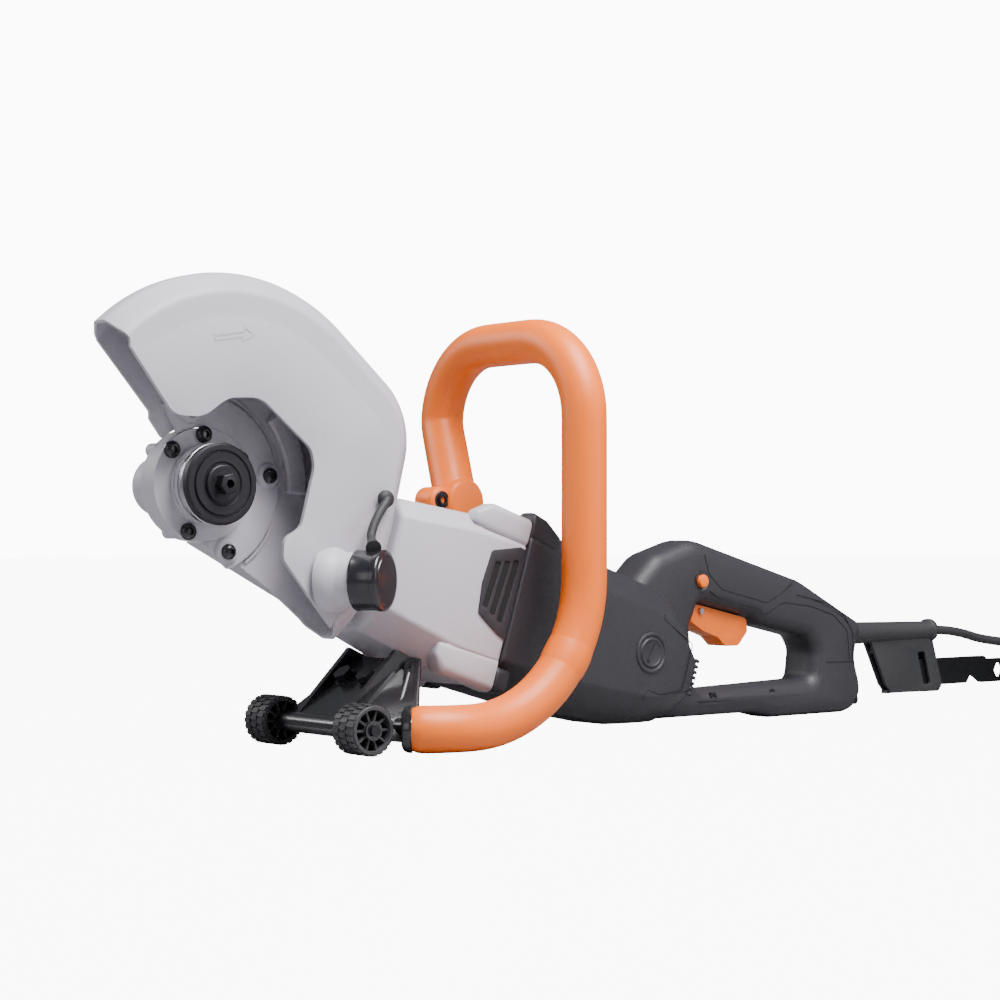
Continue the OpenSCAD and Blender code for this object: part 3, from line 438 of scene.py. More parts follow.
def rounded(points: list[tuple[float, float, float]], n: int = 6) -> list[Point2]:
    """Turns corners given as (x, y, radius) into a closed outline with an arc at each corner.

    Args:
        points: the corners.
        n: steps in each arc.

    Returns:
        The outline's points.
    """
    out: list[Point2] = []
    for i, (x, y, r) in enumerate(points):
        b = Vector((x, y))
        if r == 0:
            out.append((x, y))
            continue
        u = (Vector(points[i - 1][:2]) - b).normalized()
        w = (Vector(points[(i + 1) % len(points)][:2]) - b).normalized()
        half = math.acos(max(-1.0, min(1.0, u.dot(w)))) / 2
        mid = b + (u + w).normalized() * r / math.sin(half)
        p0 = b + u * r / math.tan(half)
        p1 = b + w * r / math.tan(half)
        a0 = math.atan2(p0.y - mid.y, p0.x - mid.x)
        turn = math.atan2(p1.y - mid.y, p1.x - mid.x) - a0
        turn = (turn + math.pi) % (2 * math.pi) - math.pi
        for k in range(n + 1):
            a = a0 + turn * k / n
            out.append((mid.x + r * math.cos(a), mid.y + r * math.sin(a)))
    return out


def inset(points: list[tuple[float, float, float]], d: float) -> list[tuple[float, float, float]]:
    """Moves each side of a corner list inwards by d, so that its arcs stay concentric.

    Args:
        points: the corners as (x, y, radius), in either turning direction.
        d: the distance; below zero it grows the outline.

    Returns:
        The new corners.
    """
    area = sum(
        a[0] * b[1] - b[0] * a[1] for a, b in zip(points, [*points[1:], points[0]])
    )
    way = 1 if area > 0 else -1
    out = []
    for i, (x, y, r) in enumerate(points):
        u = (Vector((x, y)) - Vector(points[i - 1][:2])).normalized()
        w = (Vector(points[(i + 1) % len(points)][:2]) - Vector((x, y))).normalized()
        cross = (u.x * w.y - u.y * w.x) * way
        normal = Vector((-u.y - w.y, u.x + w.x)).normalized() * way
        reach = d / max(0.25, normal.dot(Vector((-u.y, u.x)) * way))
        new_r = max(0.4, r - d if cross > 0 else r + d)
        out.append((x + normal.x * reach, y + normal.y * reach, new_r))
    return out


def eased(share: float) -> float:
    """A share of a move from 0 to 1, with a soft start and end."""
    return share * share * (3 - 2 * share)


def smooth_path(points: list[Point3], step: float) -> list[Vector]:
    """A Catmull-Rom line through the points, with about one point to each step."""
    knots = [Vector(p) for p in points]
    knots = [2 * knots[0] - knots[1], *knots, 2 * knots[-1] - knots[-2]]
    out = [knots[1].copy()]
    for i in range(1, len(knots) - 2):
        p0, p1, p2, p3 = knots[i - 1 : i + 3]
        n = max(2, round((p2 - p1).length / step))
        for k in range(1, n + 1):
            t = k / n
            out.append(
                0.5
                * (
                    2 * p1
                    + (p2 - p0) * t
                    + (2 * p0 - 5 * p1 + 4 * p2 - p3) * t**2
                    + (3 * p1 - p0 - 3 * p2 + p3) * t**3
                )
            )
    return out


# Meshes ---------------------------------------------------------------------------------


class Mesh:
    """A mesh under construction, in millimetres."""

    def __init__(self, name: str) -> None:
        self.name = name
        self.bm = bmesh.new()
        self.uv = None

    def ring(self, points: list[Point3], closed: bool = True) -> list[bmesh.types.BMEdge]:
        """Adds a line of edges through the points."""
        verts = [self.bm.verts.new(p) for p in points]
        pairs = list(zip(verts, verts[1:]))
        if closed:
            pairs.append((verts[-1], verts[0]))
        return [self.bm.edges.new(p) for p in pairs]

    def fill(self, edges: list[bmesh.types.BMEdge]) -> None:
        """Fills flat loops of edges; an inner loop is left as a hole."""
        bmesh.ops.triangle_fill(self.bm, edges=edges, use_beauty=True)

    def bridge(self, a: list[bmesh.types.BMEdge], b: list[bmesh.types.BMEdge]) -> None:
        """Joins two lines of edges with faces."""
        bmesh.ops.bridge_loops(self.bm, edges=a + b)

    def loft(self, rings: list[list[Point3]], caps: bool = True) -> None:
        """Joins rings of points in turn, and closes both ends if caps is true."""
        loops = [self.ring(r) for r in rings]
        for a, b in zip(loops, loops[1:]):
            self.bridge(a, b)
        if caps:
            bmesh.ops.contextual_create(self.bm, geom=loops[0])
            bmesh.ops.contextual_create(self.bm, geom=loops[-1])

    def plate(self, outline: list[Point2], y0: float, y1: float, holes=()) -> None:
        """Adds a plate with holes, drawn in X and Z, from y0 to y1."""
        loops = [outline, *holes]
        near = [self.ring([(x, y0, z) for x, z in p]) for p in loops]
        far = [self.ring([(x, y1, z) for x, z in p]) for p in loops]
        for side in (near, far):
            self.fill([e for loop in side for e in loop])
        for a, b in zip(near, far):
            self.bridge(a, b)

    def lathe(self, profile: list[Point2], place: Matrix, steps: int = 64) -> None:
        """Spins a profile of (radius, height) about the local Z of place."""
        verts = [self.bm.verts.new(place @ Vector((r, 0, h))) for r, h in profile]
        edges = [self.bm.edges.new(p) for p in zip(verts, verts[1:])]
        bmesh.ops.spin(
            self.bm,
            geom=verts + edges,
            cent=place.to_translation(),
            axis=(place.to_3x3() @ Vector((0, 0, 1))).normalized(),
            angle=2 * math.pi,
            steps=steps,
            use_merge=True,
        )
        bmesh.ops.remove_doubles(self.bm, verts=self.bm.verts, dist=1e-4)

    def block(self, size: Point3, place: Matrix) -> None:
        """Adds a block of the given size, centred on place."""
        bmesh.ops.create_cube(self.bm, size=1, matrix=place @ Matrix.Diagonal((*size, 1)))

    def rod(
        self, radius: float, length: float, place: Matrix, sides: int = 48, top: float | None = None
    ) -> None:
        """Adds a cylinder or cone centred on place, along its local Z."""
        bmesh.ops.create_cone(
            self.bm,
            cap_ends=True,
            segments=sides,
            radius1=radius,
            radius2=radius if top is None else top,
            depth=length,
            matrix=place,
        )

    def tube(self, path: list[Vector], radius, sides: int = 24, caps: bool = True) -> None:
        """Sweeps a circle along a path. Its UVs run along the tube and around it.

        Args:
            path: the centreline.
            radius: one radius, or one for each point.
            sides: corners of the circle.
            caps: whether the ends are closed.
        """
        if self.uv is None:
            self.uv = self.bm.loops.layers.uv.new("UVMap")
        radii = radius if isinstance(radius, list) else [radius] * len(path)
        up = Vector((0, 1, 0))
        run = 0.0
        rows = []
        for i, p in enumerate(path):
            d = (path[min(i + 1, len(path) - 1)] - path[max(i - 1, 0)]).normalized()
            up = (up - d * up.dot(d)).normalized()
            side = d.cross(up)
            if i:
                run += (p - path[i - 1]).length
            ring = [
                self.bm.verts.new(
                    p + radii[i] * (math.cos(a) * up + math.sin(a) * side)
                )
                for a in (2 * math.pi * k / sides for k in range(sides))
            ]
            rows.append((ring, run))
        for (a, u0), (b, u1) in zip(rows, rows[1:]):
            for k in range(sides):
                m = (k + 1) % sides
                face = self.bm.faces.new((a[k], b[k], b[m], a[m]))
                spots = ((u0, k), (u1, k), (u1, k + 1), (u0, k + 1))
                for corner, (u, v) in zip(face.loops, spots):
                    corner[self.uv].uv = (u * MM, v / sides)
        if caps:
            self.bm.faces.new(rows[0][0])
            self.bm.faces.new(rows[-1][0][::-1])

    def round_edges(self, width: float, segments: int = 3, limit: float = 30.0, where=None) -> None:
        """Bevels the edges that turn by more than limit degrees."""
        bmesh.ops.recalc_face_normals(self.bm, faces=self.bm.faces)
        sharp = [
            e
            for e in self.bm.edges
            if len(e.link_faces) == 2
            and e.calc_face_angle(0) > math.radians(limit)
            and (where is None or where(e))
        ]
        bmesh.ops.bevel(
            self.bm,
            geom=sharp,
            offset=width,
            segments=segments,
            profile=0.5,
            affect="EDGES",
            material=-1,
            clamp_overlap=True,
        )

    def finish(
        self,
        look: Finish,
        part: Part | None,
        replaces: tuple[str, ...] = (),
        smooth: float = 32.0,
        thickness: float = 0.0,
        bevel: float = 0.0,
    ) -> bpy.types.Object:
        """Makes the object, in metres, and hands it to the frame.

        Args:
            look: its finish.
            part: the CAD body it rides on, or None to leave it unattached.
            replaces: the CAD nodes that it stands for.
            smooth: edges that turn by less, in degrees, are shaded smooth.
            thickness: wall of a sheet; the mesh is its outer face.
            bevel: width of a bevel on what the sheet's wall adds.

        Returns:
            The finished object.
        """
        bmesh.ops.recalc_face_normals(self.bm, faces=self.bm.faces)
        for face in self.bm.faces:
            face.smooth = True
        for edge in self.bm.edges:
            edge.smooth = (
                len(edge.link_faces) == 2
                and edge.calc_face_angle(0) < math.radians(smooth)
            )
        bmesh.ops.scale(self.bm, vec=(MM, MM, MM), verts=self.bm.verts)
        name = self.name.replace(" ", "_")
        data = bpy.data.meshes.new(name)
        self.bm.to_mesh(data)
        self.bm.free()
        made = bpy.data.objects.new(name, data)
        bpy.context.scene.collection.objects.link(made)
        data.materials.append(look.material())
        if thickness:
            wall = made.modifiers.new("Wall", "SOLIDIFY")
            wall.thickness = thickness * MM
            wall.offset = -1
        if bevel:
            edge = made.modifiers.new("Edges", "BEVEL")
            edge.width = bevel * MM
            edge.segments = 3
            edge.limit_method = "ANGLE"
            edge.angle_limit = math.radians(40)
        if part:
            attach(made, part.value)
        if replaces:
            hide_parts(*replaces)
        return made


def along_y(x: float, y: float, z: float) -> Matrix:
    """A place whose local Z points to the near side, along −Y."""
    return Matrix.Translation((x, y, z)) @ Matrix.Rotation(math.radians(90), 4, "X")


def in_motor(s: float, y: float, t: float, turn: Matrix | None = None) -> Matrix:
    """A place in the motor's axes, with local X along them unless it is turned."""
    base = Matrix.Translation(motor_point(s, y, t)) @ Matrix.Rotation(TILT, 4, "Y")
    return base @ turn if turn else base


# Guard ----------------------------------------------------------------------------------


@dataclass
class Guard:
    """The cast guard, its dust port, the cap on the port and the strap."""

    centre: Point2 = (8.0, 3.0)
    radius: float = 141.0
    bulge: Point2 = (103.0, 33.0)
    bulge_radius: float = 56.0
    near_y: float = -16.0
    far_y: float = 26.5
    crown: Point2 = (-2.0, 12.0)
    shoulder: float = 12.0
    wall: float = 2.5
    port: Point2 = (87.0, -66.0)
    port_turn: float = 32.0
    port_len: float = 33.0
    port_r: float = 20.0
    screws: tuple[Point2, ...] = ((53, 7), (19, -46), (-10, 51))

    def outline(self, depth: float) -> list[Point2]:
        """The guard's outline, drawn in by a depth."""
        dx, dz = self.bulge[0] - self.centre[0], self.bulge[1] - self.centre[1]
        line = math.degrees(math.atan2(dz, dx))
        turn = math.degrees(
            math.acos((self.radius - self.bulge_radius) / math.hypot(dx, dz))
        )
        return (
            arc(self.centre, self.radius - depth, 133, line + turn, 44)
            + arc(self.bulge, self.bulge_radius - depth, line + turn, line - turn, 30)[1:]
            + arc(self.centre, self.radius - depth, line - turn, -52, 24)[1:]
        )

    def profile(self) -> list[Point2]:
        """The cross-section of the rim as (inset, y), with soft corners."""
        corners = rounded(
            [
                (60, self.near_y, 0),
                (self.shoulder + 1, self.near_y, 9),
                (0, self.crown[0], 6),
                (0, self.crown[1], 6),
                (self.shoulder, self.far_y, 9),
                (60, self.far_y, 0),
            ],
            5,
        )
        return corners[1:-1]

    def shell(self) -> None:
        """Builds the rim and both plates as one sheet with a wall."""
        mesh = Mesh("Guard")
        rails = [
            mesh.ring([(x, y, z) for x, z in self.outline(d)], closed=False)
            for d, y in self.profile()
        ]
        for a, b in zip(rails, rails[1:]):
            mesh.bridge(a, b)
        near = rounded(
            [
                (-76.5, 88, 0), (-44, 45, 14), (-22, 44, 24), (-2, 58, 24), (24, 59, 20),
                (66, 25, 14), (68, 12, 16), (57, -29, 10), (43, -37, 8), (42, -51, 8),
                (82, -99, 0),
            ]
        )
        far = rounded(
            [(-79, 95.5, 0), (-39, 49, 3), (-39, 44, 3), (-30, 32, 0)]
        ) + arc((0, 0), 42, 132, -88, 50) + rounded([(20, -48, 0), (58, -73, 12), (84, -94.5, 0)])
        for rail, edge, y in ((rails[0], near, self.near_y), (rails[-1], far, self.far_y)):
            ends = [v for e in rail for v in e.verts]
            start = min(ends, key=lambda v: (v.co.x - edge[0][0]) ** 2 + (v.co.z - edge[0][1]) ** 2)
            stop = min(
                ends, key=lambda v: (v.co.x - edge[-1][0]) ** 2 + (v.co.z - edge[-1][1]) ** 2
            )
            verts = [mesh.bm.verts.new((x, y, z)) for x, z in edge]
            chain = [start, *verts, stop]
            edges = [mesh.bm.edges.new(p) for p in zip(chain, chain[1:])]
            mesh.fill(rail + edges)
        mesh.finish(
            POWDER_COAT, Part.GUARD, ("guard_shell",), smooth=40, thickness=self.wall, bevel=0.7
        )
        self.panel(near)

    def panel(self, near: list[Point2]) -> None:
        """Builds the slightly raised field inside the crease of the near plate.

        Args:
            near: the open edge of the near plate.
        """
        mesh = Mesh("Guard field")
        outer = self.outline(31)
        mesh.plate(outer[3:-9] + near[::-1], self.near_y - 0.7, self.near_y + 0.5)
        mesh.round_edges(0.65, 3, 50)
        mesh.finish(POWDER_COAT, Part.GUARD, smooth=50)
        arrow = Mesh("Turning arrow")
        arrow.plate(
            [(-14, 100), (10, 104), (10, 107.5), (20, 101), (9, 95.5), (9, 99), (-13, 95)],
            self.near_y - 0.95, self.near_y - 0.5,
            [[(-11.5, 98.6), (-10.8, 96.8), (10.2, 100.6), (10.4, 98.2), (16.6, 101.4),
              (11.4, 104.9), (11.2, 102.6)]],
        )
        arrow.finish(POWDER_COAT, Part.GUARD)

    def collar(self) -> None:
        """Builds the round plate behind the guard, with its screws."""
        outer = arc((0, 0), 62, 119, -70, 60)
        hub = arc((0, 0), 39.2, -92, 119, 48)
        mesh = Mesh("Guard collar")
        mesh.plate(outer + hub, 20, 24.2)
        for centre in self.screws:
            mesh.rod(10, 3, along_y(centre[0], 18.6, centre[1]), top=8)
        mesh.round_edges(0.8, 2)
        mesh.finish(POWDER_COAT, Part.GUARD, ("guard_collar",))
        pocket = Mesh("Guard pocket")
        pocket.plate(arc((0, 0), 70, 40, -4, 16) + arc((0, 0), 86, -4, 40, 18), 18.5, 24.4)
        pocket.round_edges(2.0, 3, 50)
        pocket.finish(POWDER_COAT, Part.GUARD, smooth=50)
        rib = Mesh("Guard ring rib")
        rib.plate(arc((0, 0), 66.5, 112, -56, 60) + arc((0, 0), 63.8, -56, 112, 60), 22.6, 24.4)
        rib.round_edges(0.7, 2, 50)
        rib.finish(POWDER_COAT, Part.GUARD, smooth=50)
        for i, (x, z) in enumerate(self.screws):
            stands_for = ("guard_screws",) if i == 0 else ()
            button_screw(f"Guard screw {i + 1}", (x, 17, z), Part.GUARD, stands_for)

    def port_place(self, height: float = 0.0) -> Matrix:
        """A place on the dust port's axis, at a height above the guard plate."""
        base = Matrix.Translation((self.port[0], self.near_y, self.port[1]))
        aim = Vector(
            (math.sin(math.radians(self.port_turn)), -math.cos(math.radians(self.port_turn)), 0)
        )
        turn = aim.to_track_quat("Z", "Y").to_matrix().to_4x4()
        return base @ turn @ Matrix.Translation((0, 0, height))

    def dust_port(self) -> None:
        """Builds the domed base and spout, then the cap and its strap."""
        mesh = Mesh("Dust port")
        place = self.port_place()
        r = self.port_r
        mesh.lathe(
            [(r - 3, self.port_len), (r - 0.6, self.port_len), (r - 0.6, 8), (r + 0.2, 5),
             (r + 2.2, 2), (r + 3.4, -2), (r + 3.6, -9), (r - 3, -9), (r - 3, self.port_len)],
            place, 72,
        )
        mesh.round_edges(0.8, 2)
        mesh.finish(POWDER_COAT, Part.GUARD, ("dust_port",))
        cap = Mesh("Dust cap")
        cap.lathe(
            [(0, 38), (17.6, 38), (18, 37.4), (20, 37.4), (21, 36.8), (21.5, 35.8),
             (21.5, 32.4), (20.9, 31.8), (20.9, 18.2), (21.3, 17.6), (21.3, 16.2),
             (19.7, 16), (19.6, 34), (0, 34)],
            place, 80,
        )
        cap.finish(GLOSS_BLACK, Part.CAP, ("dust_cap",), smooth=40)
        self.strap(place)

    def strap(self, place: Matrix) -> None:
        """Builds the rubber strap from its round button to the cap.

        Args:
            place: the foot of the dust port.
        """
        tab = place @ Vector((-6, 22.6, 30))
        path = smooth_path(
            [(126, -23, -9), (121, -25, -14), (114.5, -27, -21), (109, -29, -29),
             (105, -32, -36), tuple(tab)],
            2.0,
        )
        mesh = Mesh("Cap strap")
        flare = len(path) - 6
        widths = [3.2 + 0.5 * max(0, i - flare) for i in range(len(path))]
        mesh.tube(path, widths, 16)
        mesh.lathe(
            [(0, 8.6), (3.4, 8.4), (5.6, 7.2), (6.4, 5.2), (6.4, 3.6), (5.4, 2.6), (3.4, 2.2),
             (3.4, 0), (0, 0)],
            along_y(126, self.near_y, -9), 40,
        )
        strap = mesh.finish(RUBBER, None, ("cap_strap",), smooth=50)
        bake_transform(strap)

    def build(self) -> None:
        """Builds every piece of the guard."""
        self.shell()
        self.collar()
        self.dust_port()


def button_screw(
    name: str, at: Point3, part: Part, replaces: tuple[str, ...] = (), r: float = 5.5
) -> None:
    """Adds a domed black screw with a round recess, its head towards −Y.

    Args:
        name: the object's name.
        at: the seat of its head.
        part: the body it rides on.
        replaces: the CAD nodes that it stands for.
        r: radius of the head.
    """
    mesh = Mesh(name)
    mesh.lathe(
        [(0, 2.0), (r * 0.34, 2.0), (r * 0.42, 4.1), (r * 0.6, 3.9), (r * 0.86, 2.9), (r, 1.4),
         (r, 0), (0, 0)],
        along_y(*at),
        36,
    )
    mesh.finish(GLOSS_BLACK, part, replaces, smooth=40)


# Spindle --------------------------------------------------------------------------------


@dataclass
class CoverScrews:
    """The screws that hold the gear case's cover."""

    turns: tuple[float, ...] = (90, 137, 249, 30)
    pitch_r: float = 34.5
    seat_y: float = 18.4
    head_r: float = 6.0

    def build(self) -> None:
        """Adds one screw at each angle round the spindle."""
        for i, turn in enumerate(self.turns):
            a = math.radians(turn)
            button_screw(
                f"Cover screw {i + 1}",
                (self.pitch_r * math.cos(a), self.seat_y, self.pitch_r * math.sin(a)),
                Part.MACHINE,
                ("cover_screws",) if i == 0 else (),
                self.head_r,
            )


@dataclass
class Spindle:
    """The flanges, washer and bolt that clamp the disc."""

    flange_r: float = 28.0
    flange_t: float = 6.0
    bolt_af: float = 13.0

    def build(self) -> None:
        """Builds the outer flange, the washer and the bolt."""
        r, t = self.flange_r, self.flange_t
        face = along_y(0, 0, 0)
        outer = Mesh("Outer flange")
        outer.lathe(
            [(5, -0.2), (r - 1.2, -0.2), (r, 0.8), (r, t - 1.6), (r - 1.6, t), (23.2, t),
             (22.6, t - 0.9), (21.6, t - 0.9), (21, t + 0.5), (15.2, t + 0.5), (14.4, t - 0.3),
             (5, t - 0.3)],
            face, 96,
        )
        outer.finish(DARK_STEEL, Part.SPINDLE, ("outer_flange",), smooth=24)
        inner = Mesh("Inner flange")
        inner.lathe(
            [(6, -6), (r - 1, -6), (r, -5), (r, -1), (r - 1, -0.3), (6, -0.3)],
            face, 96,
        )
        inner.finish(BRIGHT_STEEL, Part.SPINDLE, ("inner_flange",), smooth=24)
        washer = Mesh("Flange washer")
        washer.lathe(
            [(4.3, t - 0.4), (12.2, t - 0.4), (13, t + 0.5), (13, t + 1.3), (12.2, t + 2),
             (4.3, t + 2)],
            face, 72,
        )
        washer.finish(DARK_STEEL, Part.SPINDLE, ("flange_washer",), smooth=24)
        self.bolt(face, t + 2)

    def bolt(self, face: Matrix, seat: float) -> None:
        """Builds the hexagon bolt with a hexagon socket.

        Args:
            face: the disc plane, with Z outwards.
            seat: height of the underside of the head.
        """
        mesh = Mesh("Disc bolt")
        corner = self.bolt_af / math.sqrt(3)
        turn = math.radians(12)
        levels = [
            (corner, seat), (corner, seat + 7.2), (corner * 0.9, seat + 8), (3.5, seat + 8),
            (3.3, seat + 3.5),
        ]
        rings = [
            [
                tuple(face @ Vector((c * math.cos(a + turn), c * math.sin(a + turn), h)))
                for a in (math.radians(60 * k) for k in range(6))
            ]
            for c, h in levels
        ]
        mesh.loft(rings)
        mesh.round_edges(0.35, 2)
        mesh.finish(DARK_STEEL, Part.SPINDLE, ("disc_bolt",), smooth=30)


# Housings -------------------------------------------------------------------------------


@dataclass
class Housings:
    """The fan housing, the vents, the motor housing and its end."""

    half_w: float = 50.0
    motor_half_w: float = 46.0
    seam_s: float = 266.0
    motor_end: float = 440.0

    def section(
        self,
        s: float,
        w: float,
        top: float,
        bottom: float,
        cut: float,
        low_cut: float,
        soft: float = 6.0,
    ) -> list[Point3]:
        """A cross-section square to the motor axis, with soft chamfered corners."""
        corners = rounded(
            [
                (-w, bottom + low_cut, soft), (-w + low_cut, bottom, soft),
                (w - low_cut, bottom, soft), (w, bottom + low_cut, soft),
                (w, top - cut, soft), (w - cut, top, soft),
                (-w + cut, top, soft), (-w, top - cut, soft),
            ],
            4,
        )
        return [motor_point(s, y, t) for y, t in corners]

    def fan_housing(self) -> None:
        """Builds the grey casting with its screw bosses and side vents."""
        w = self.half_w
        mesh = Mesh("Fan housing")
        mesh.loft(
            [
                self.section(152, w - 8, 40, -58, 13, 19),
                self.section(156, w - 6, 42, -60, 14, 20),
                self.section(222, w, 51, -70, 14, 20),
                self.section(self.seam_s - 0.6, w, 53, -70, 14, 20),
            ]
        )
        mesh.round_edges(3, 3, 35)
        mesh.finish(POWDER_COAT, Part.MACHINE, ("fan_housing",))
        for side in (-1, 1):
            self.bosses(side)
            self.vent(side)

    def bosses(self, side: int) -> None:
        """Builds the screw bosses at the top and bottom of one side."""
        name = "near" if side < 0 else "far"
        y = side * (self.half_w - 10)
        mesh = Mesh(f"Housing bosses {name}")
        mesh.loft(
            [
                self.boss_ring(214, y, 44, 52, 6),
                self.boss_ring(227, y, 40, 62, 9),
                self.boss_ring(self.seam_s - 0.6, y, 38, 61, 10),
            ]
        )
        mesh.loft(
            [
                self.boss_ring(208, y, -60, -50, 7),
                self.boss_ring(216, y, -72, -48, 10),
                self.boss_ring(self.seam_s - 0.6, y, -74, -46, 10),
            ]
        )
        mesh.round_edges(2.2, 3, 30)
        mesh.finish(POWDER_COAT, Part.MACHINE)

    def boss_ring(self, s: float, y: float, t0: float, t1: float, half: float) -> list[Point3]:
        """A soft rectangle square to the motor axis, between t0 and t1."""
        r = min(half, (t1 - t0) / 2) * 0.6
        corners = rounded(
            [(y - half, t0, r), (y + half, t0, r), (y + half, t1, r), (y - half, t1, r)], 4
        )
        return [motor_point(s, a, t) for a, t in corners]

    def vent(self, side: int) -> None:
        """Builds one side's recessed grille, with three slanted slots."""
        name = "near" if side < 0 else "far"
        outline = rounded(
            [(233, 27, 3), (258, 37, 3), (264, 36, 1), (264, -33, 1), (256, -31, 3), (234, -21, 3),
             (231, 2, 4)],
            4,
        )
        y = BODY_Y + side * self.half_w
        frame_mesh = Mesh(f"Vent frame {name}")
        slots = [
            rounded([(238 + i * 8.2, 20 + i * 3, 1.4), (243.5 + i * 8.2, 21.5 + i * 3, 1.4),
                     (240.5 + i * 8.2, -16 - i * 3.5, 1.4),
                     (235.5 + i * 8.2, -14.5 - i * 3.5, 1.4)], 3)
            for i in range(3)
        ]
        flip = self.to_world
        cuts = [[flip(p) for p in s] for s in slots]
        frame_mesh.plate([flip(p) for p in outline], y - 1.2, y + 1.2, cuts)
        frame_mesh.round_edges(0.5, 2)
        frame_mesh.finish(BLACK_NYLON, Part.MACHINE, ("vent_grilles",) if side < 0 else ())
        # Painted shade: a dark sheet just behind the slots stands in for the shade inside the vent.
        back = Mesh(f"Vent shade {name}")
        sheet = rounded([(234, 24, 2), (262, 34, 2), (262, -31, 2), (235, -19, 2)], 3)
        back.plate([flip(p) for p in sheet], y - 0.4, y + 0.2)
        back.finish(VENT_SHADE_AND_SEAM_DARK, Part.MACHINE)

    def to_world(self, p: Point2) -> Point2:
        """A point (s, t) in the motor's axes as (x, z)."""
        x, _, z = motor_point(p[0], 0, p[1])
        return (x, z)

    def motor_housing(self) -> None:
        """Builds the black shell around the motor, and the end towards the handle."""
        w = self.motor_half_w
        mesh = Mesh("Motor housing")
        mesh.loft(
            [
                self.section(self.seam_s + 0.3, self.half_w + 0.6, 64, -70.5, 18, 22),
                self.section(300, self.half_w - 1, 62, -70, 18, 24),
                self.section(352, w, 56, -69, 22, 26),
                self.section(self.motor_end - 10, w - 0.6, 55, -60, 22, 26),
                self.section(self.motor_end + 1, w - 1, 52, -57, 22, 26),
                self.section(456, w - 1.5, 37, -47, 20, 24),
                self.section(468, w - 2, 22, -38, 16, 22),
                self.section(473, w - 8, 19, -36, 16, 22),
            ]
        )
        mesh.round_edges(2.5, 3, 35)
        floor_cut = FLOOR_Z + 5.5
        geom = list(mesh.bm.verts) + list(mesh.bm.edges) + list(mesh.bm.faces)
        cut = bmesh.ops.bisect_plane(
            mesh.bm, geom=geom, plane_co=(0, 0, floor_cut), plane_no=(0, 0, -1), clear_outer=True
        )
        rim = [g for g in cut["geom_cut"] if isinstance(g, bmesh.types.BMEdge)]
        bmesh.ops.contextual_create(mesh.bm, geom=rim)
        mesh.finish(BLACK_NYLON, Part.MACHINE, ("motor_housing",))
        for side in (-1, 1):
            self.brush_cap(side)
            self.ribs(side)
            self.screw_tunnels(side)
            y = side * (self.motor_half_w - 0.75)
            line = [(421, 33), (422, 29), (458, 19), (458, -19), (435, -29), (420, -29), (419, -38)]
            face = "near" if side < 0 else "far"
            groove(f"End line {face}", [motor_point(s, y, t) for s, t in line])

    def screw_tunnels(self, side: int) -> None:
        """Builds the raised tunnels over the long housing screws of one side."""
        name = "near" if side < 0 else "far"
        y = side * (self.half_w - 12)
        mesh = Mesh(f"Screw tunnels {name}")
        start = self.seam_s + 0.3
        upper = ((start, 68, 11), (282, 66, 10), (300, 58, 7))
        mesh.loft([self.boss_ring(s, y, 44, top, half) for s, top, half in upper])
        lower = ((start, -73.5, 11), (280, -71.5, 10))
        mesh.loft([self.boss_ring(s, y, bottom, -52, half) for s, bottom, half in lower])
        mesh.round_edges(2.2, 3, 30)
        mesh.finish(BLACK_NYLON, Part.MACHINE)

    def brush_cap(self, side: int) -> None:
        """Builds one screwed cap over a carbon brush, with a slot and two rings."""
        name = "near" if side < 0 else "far"
        out = Matrix.Rotation(math.radians(-side * 90), 4, "X")
        place = in_motor(416, side * self.motor_half_w, 0, out)
        mesh = Mesh(f"Brush cap {name}")
        mesh.lathe(
            [(0, 0.2), (9.6, 0.2), (10.2, 0.9), (11.4, 0.9), (12, -0.3), (13.2, -0.3), (13.8, 0.7),
             (15.8, 0.7), (16.4, 0), (16.4, -3), (0, -3)],
            place, 64,
        )
        mesh.round_edges(0.25, 1, 30)
        slot = Matrix.Translation((0, 0, 0.5)) @ Matrix.Rotation(math.radians(-18), 4, "Z")
        mesh.block((2.2, 15, 1.2), place @ slot)
        mesh.finish(BLACK_NYLON, Part.MACHINE, ("brush_caps",) if side < 0 else (), smooth=35)

    def ribs(self, side: int) -> None:
        """Builds the grip ribs at the rear corner of the housing on one side."""
        name = "near" if side < 0 else "far"
        mesh = Mesh(f"Rear ribs {name}")
        for i in range(7):
            t = 8 - i * 4.6
            lean = Matrix.Rotation(math.radians(-side * 30), 4, "Z")
            mesh.block((7, 3.4, 2.4), in_motor(468.6, side * 42.6, t, lean))
        mesh.round_edges(0.6, 2)
        mesh.finish(BLACK_NYLON, Part.MACHINE)

    def build(self) -> None:
        """Builds all the housings."""
        self.fan_housing()
        self.motor_housing()


# Painted shade: a near-black matt finish for the sheet behind the vent slots, where the vent's
# inside lies in shade. The seam lines take it too, as the dark colour of their joints.
VENT_SHADE_AND_SEAM_DARK = Finish("Painted vent shade and seam lines", "#0B0B0C", "#080809", 0.8, slot="black_plastic")


# Loop handle ----------------------------------------------------------------------------


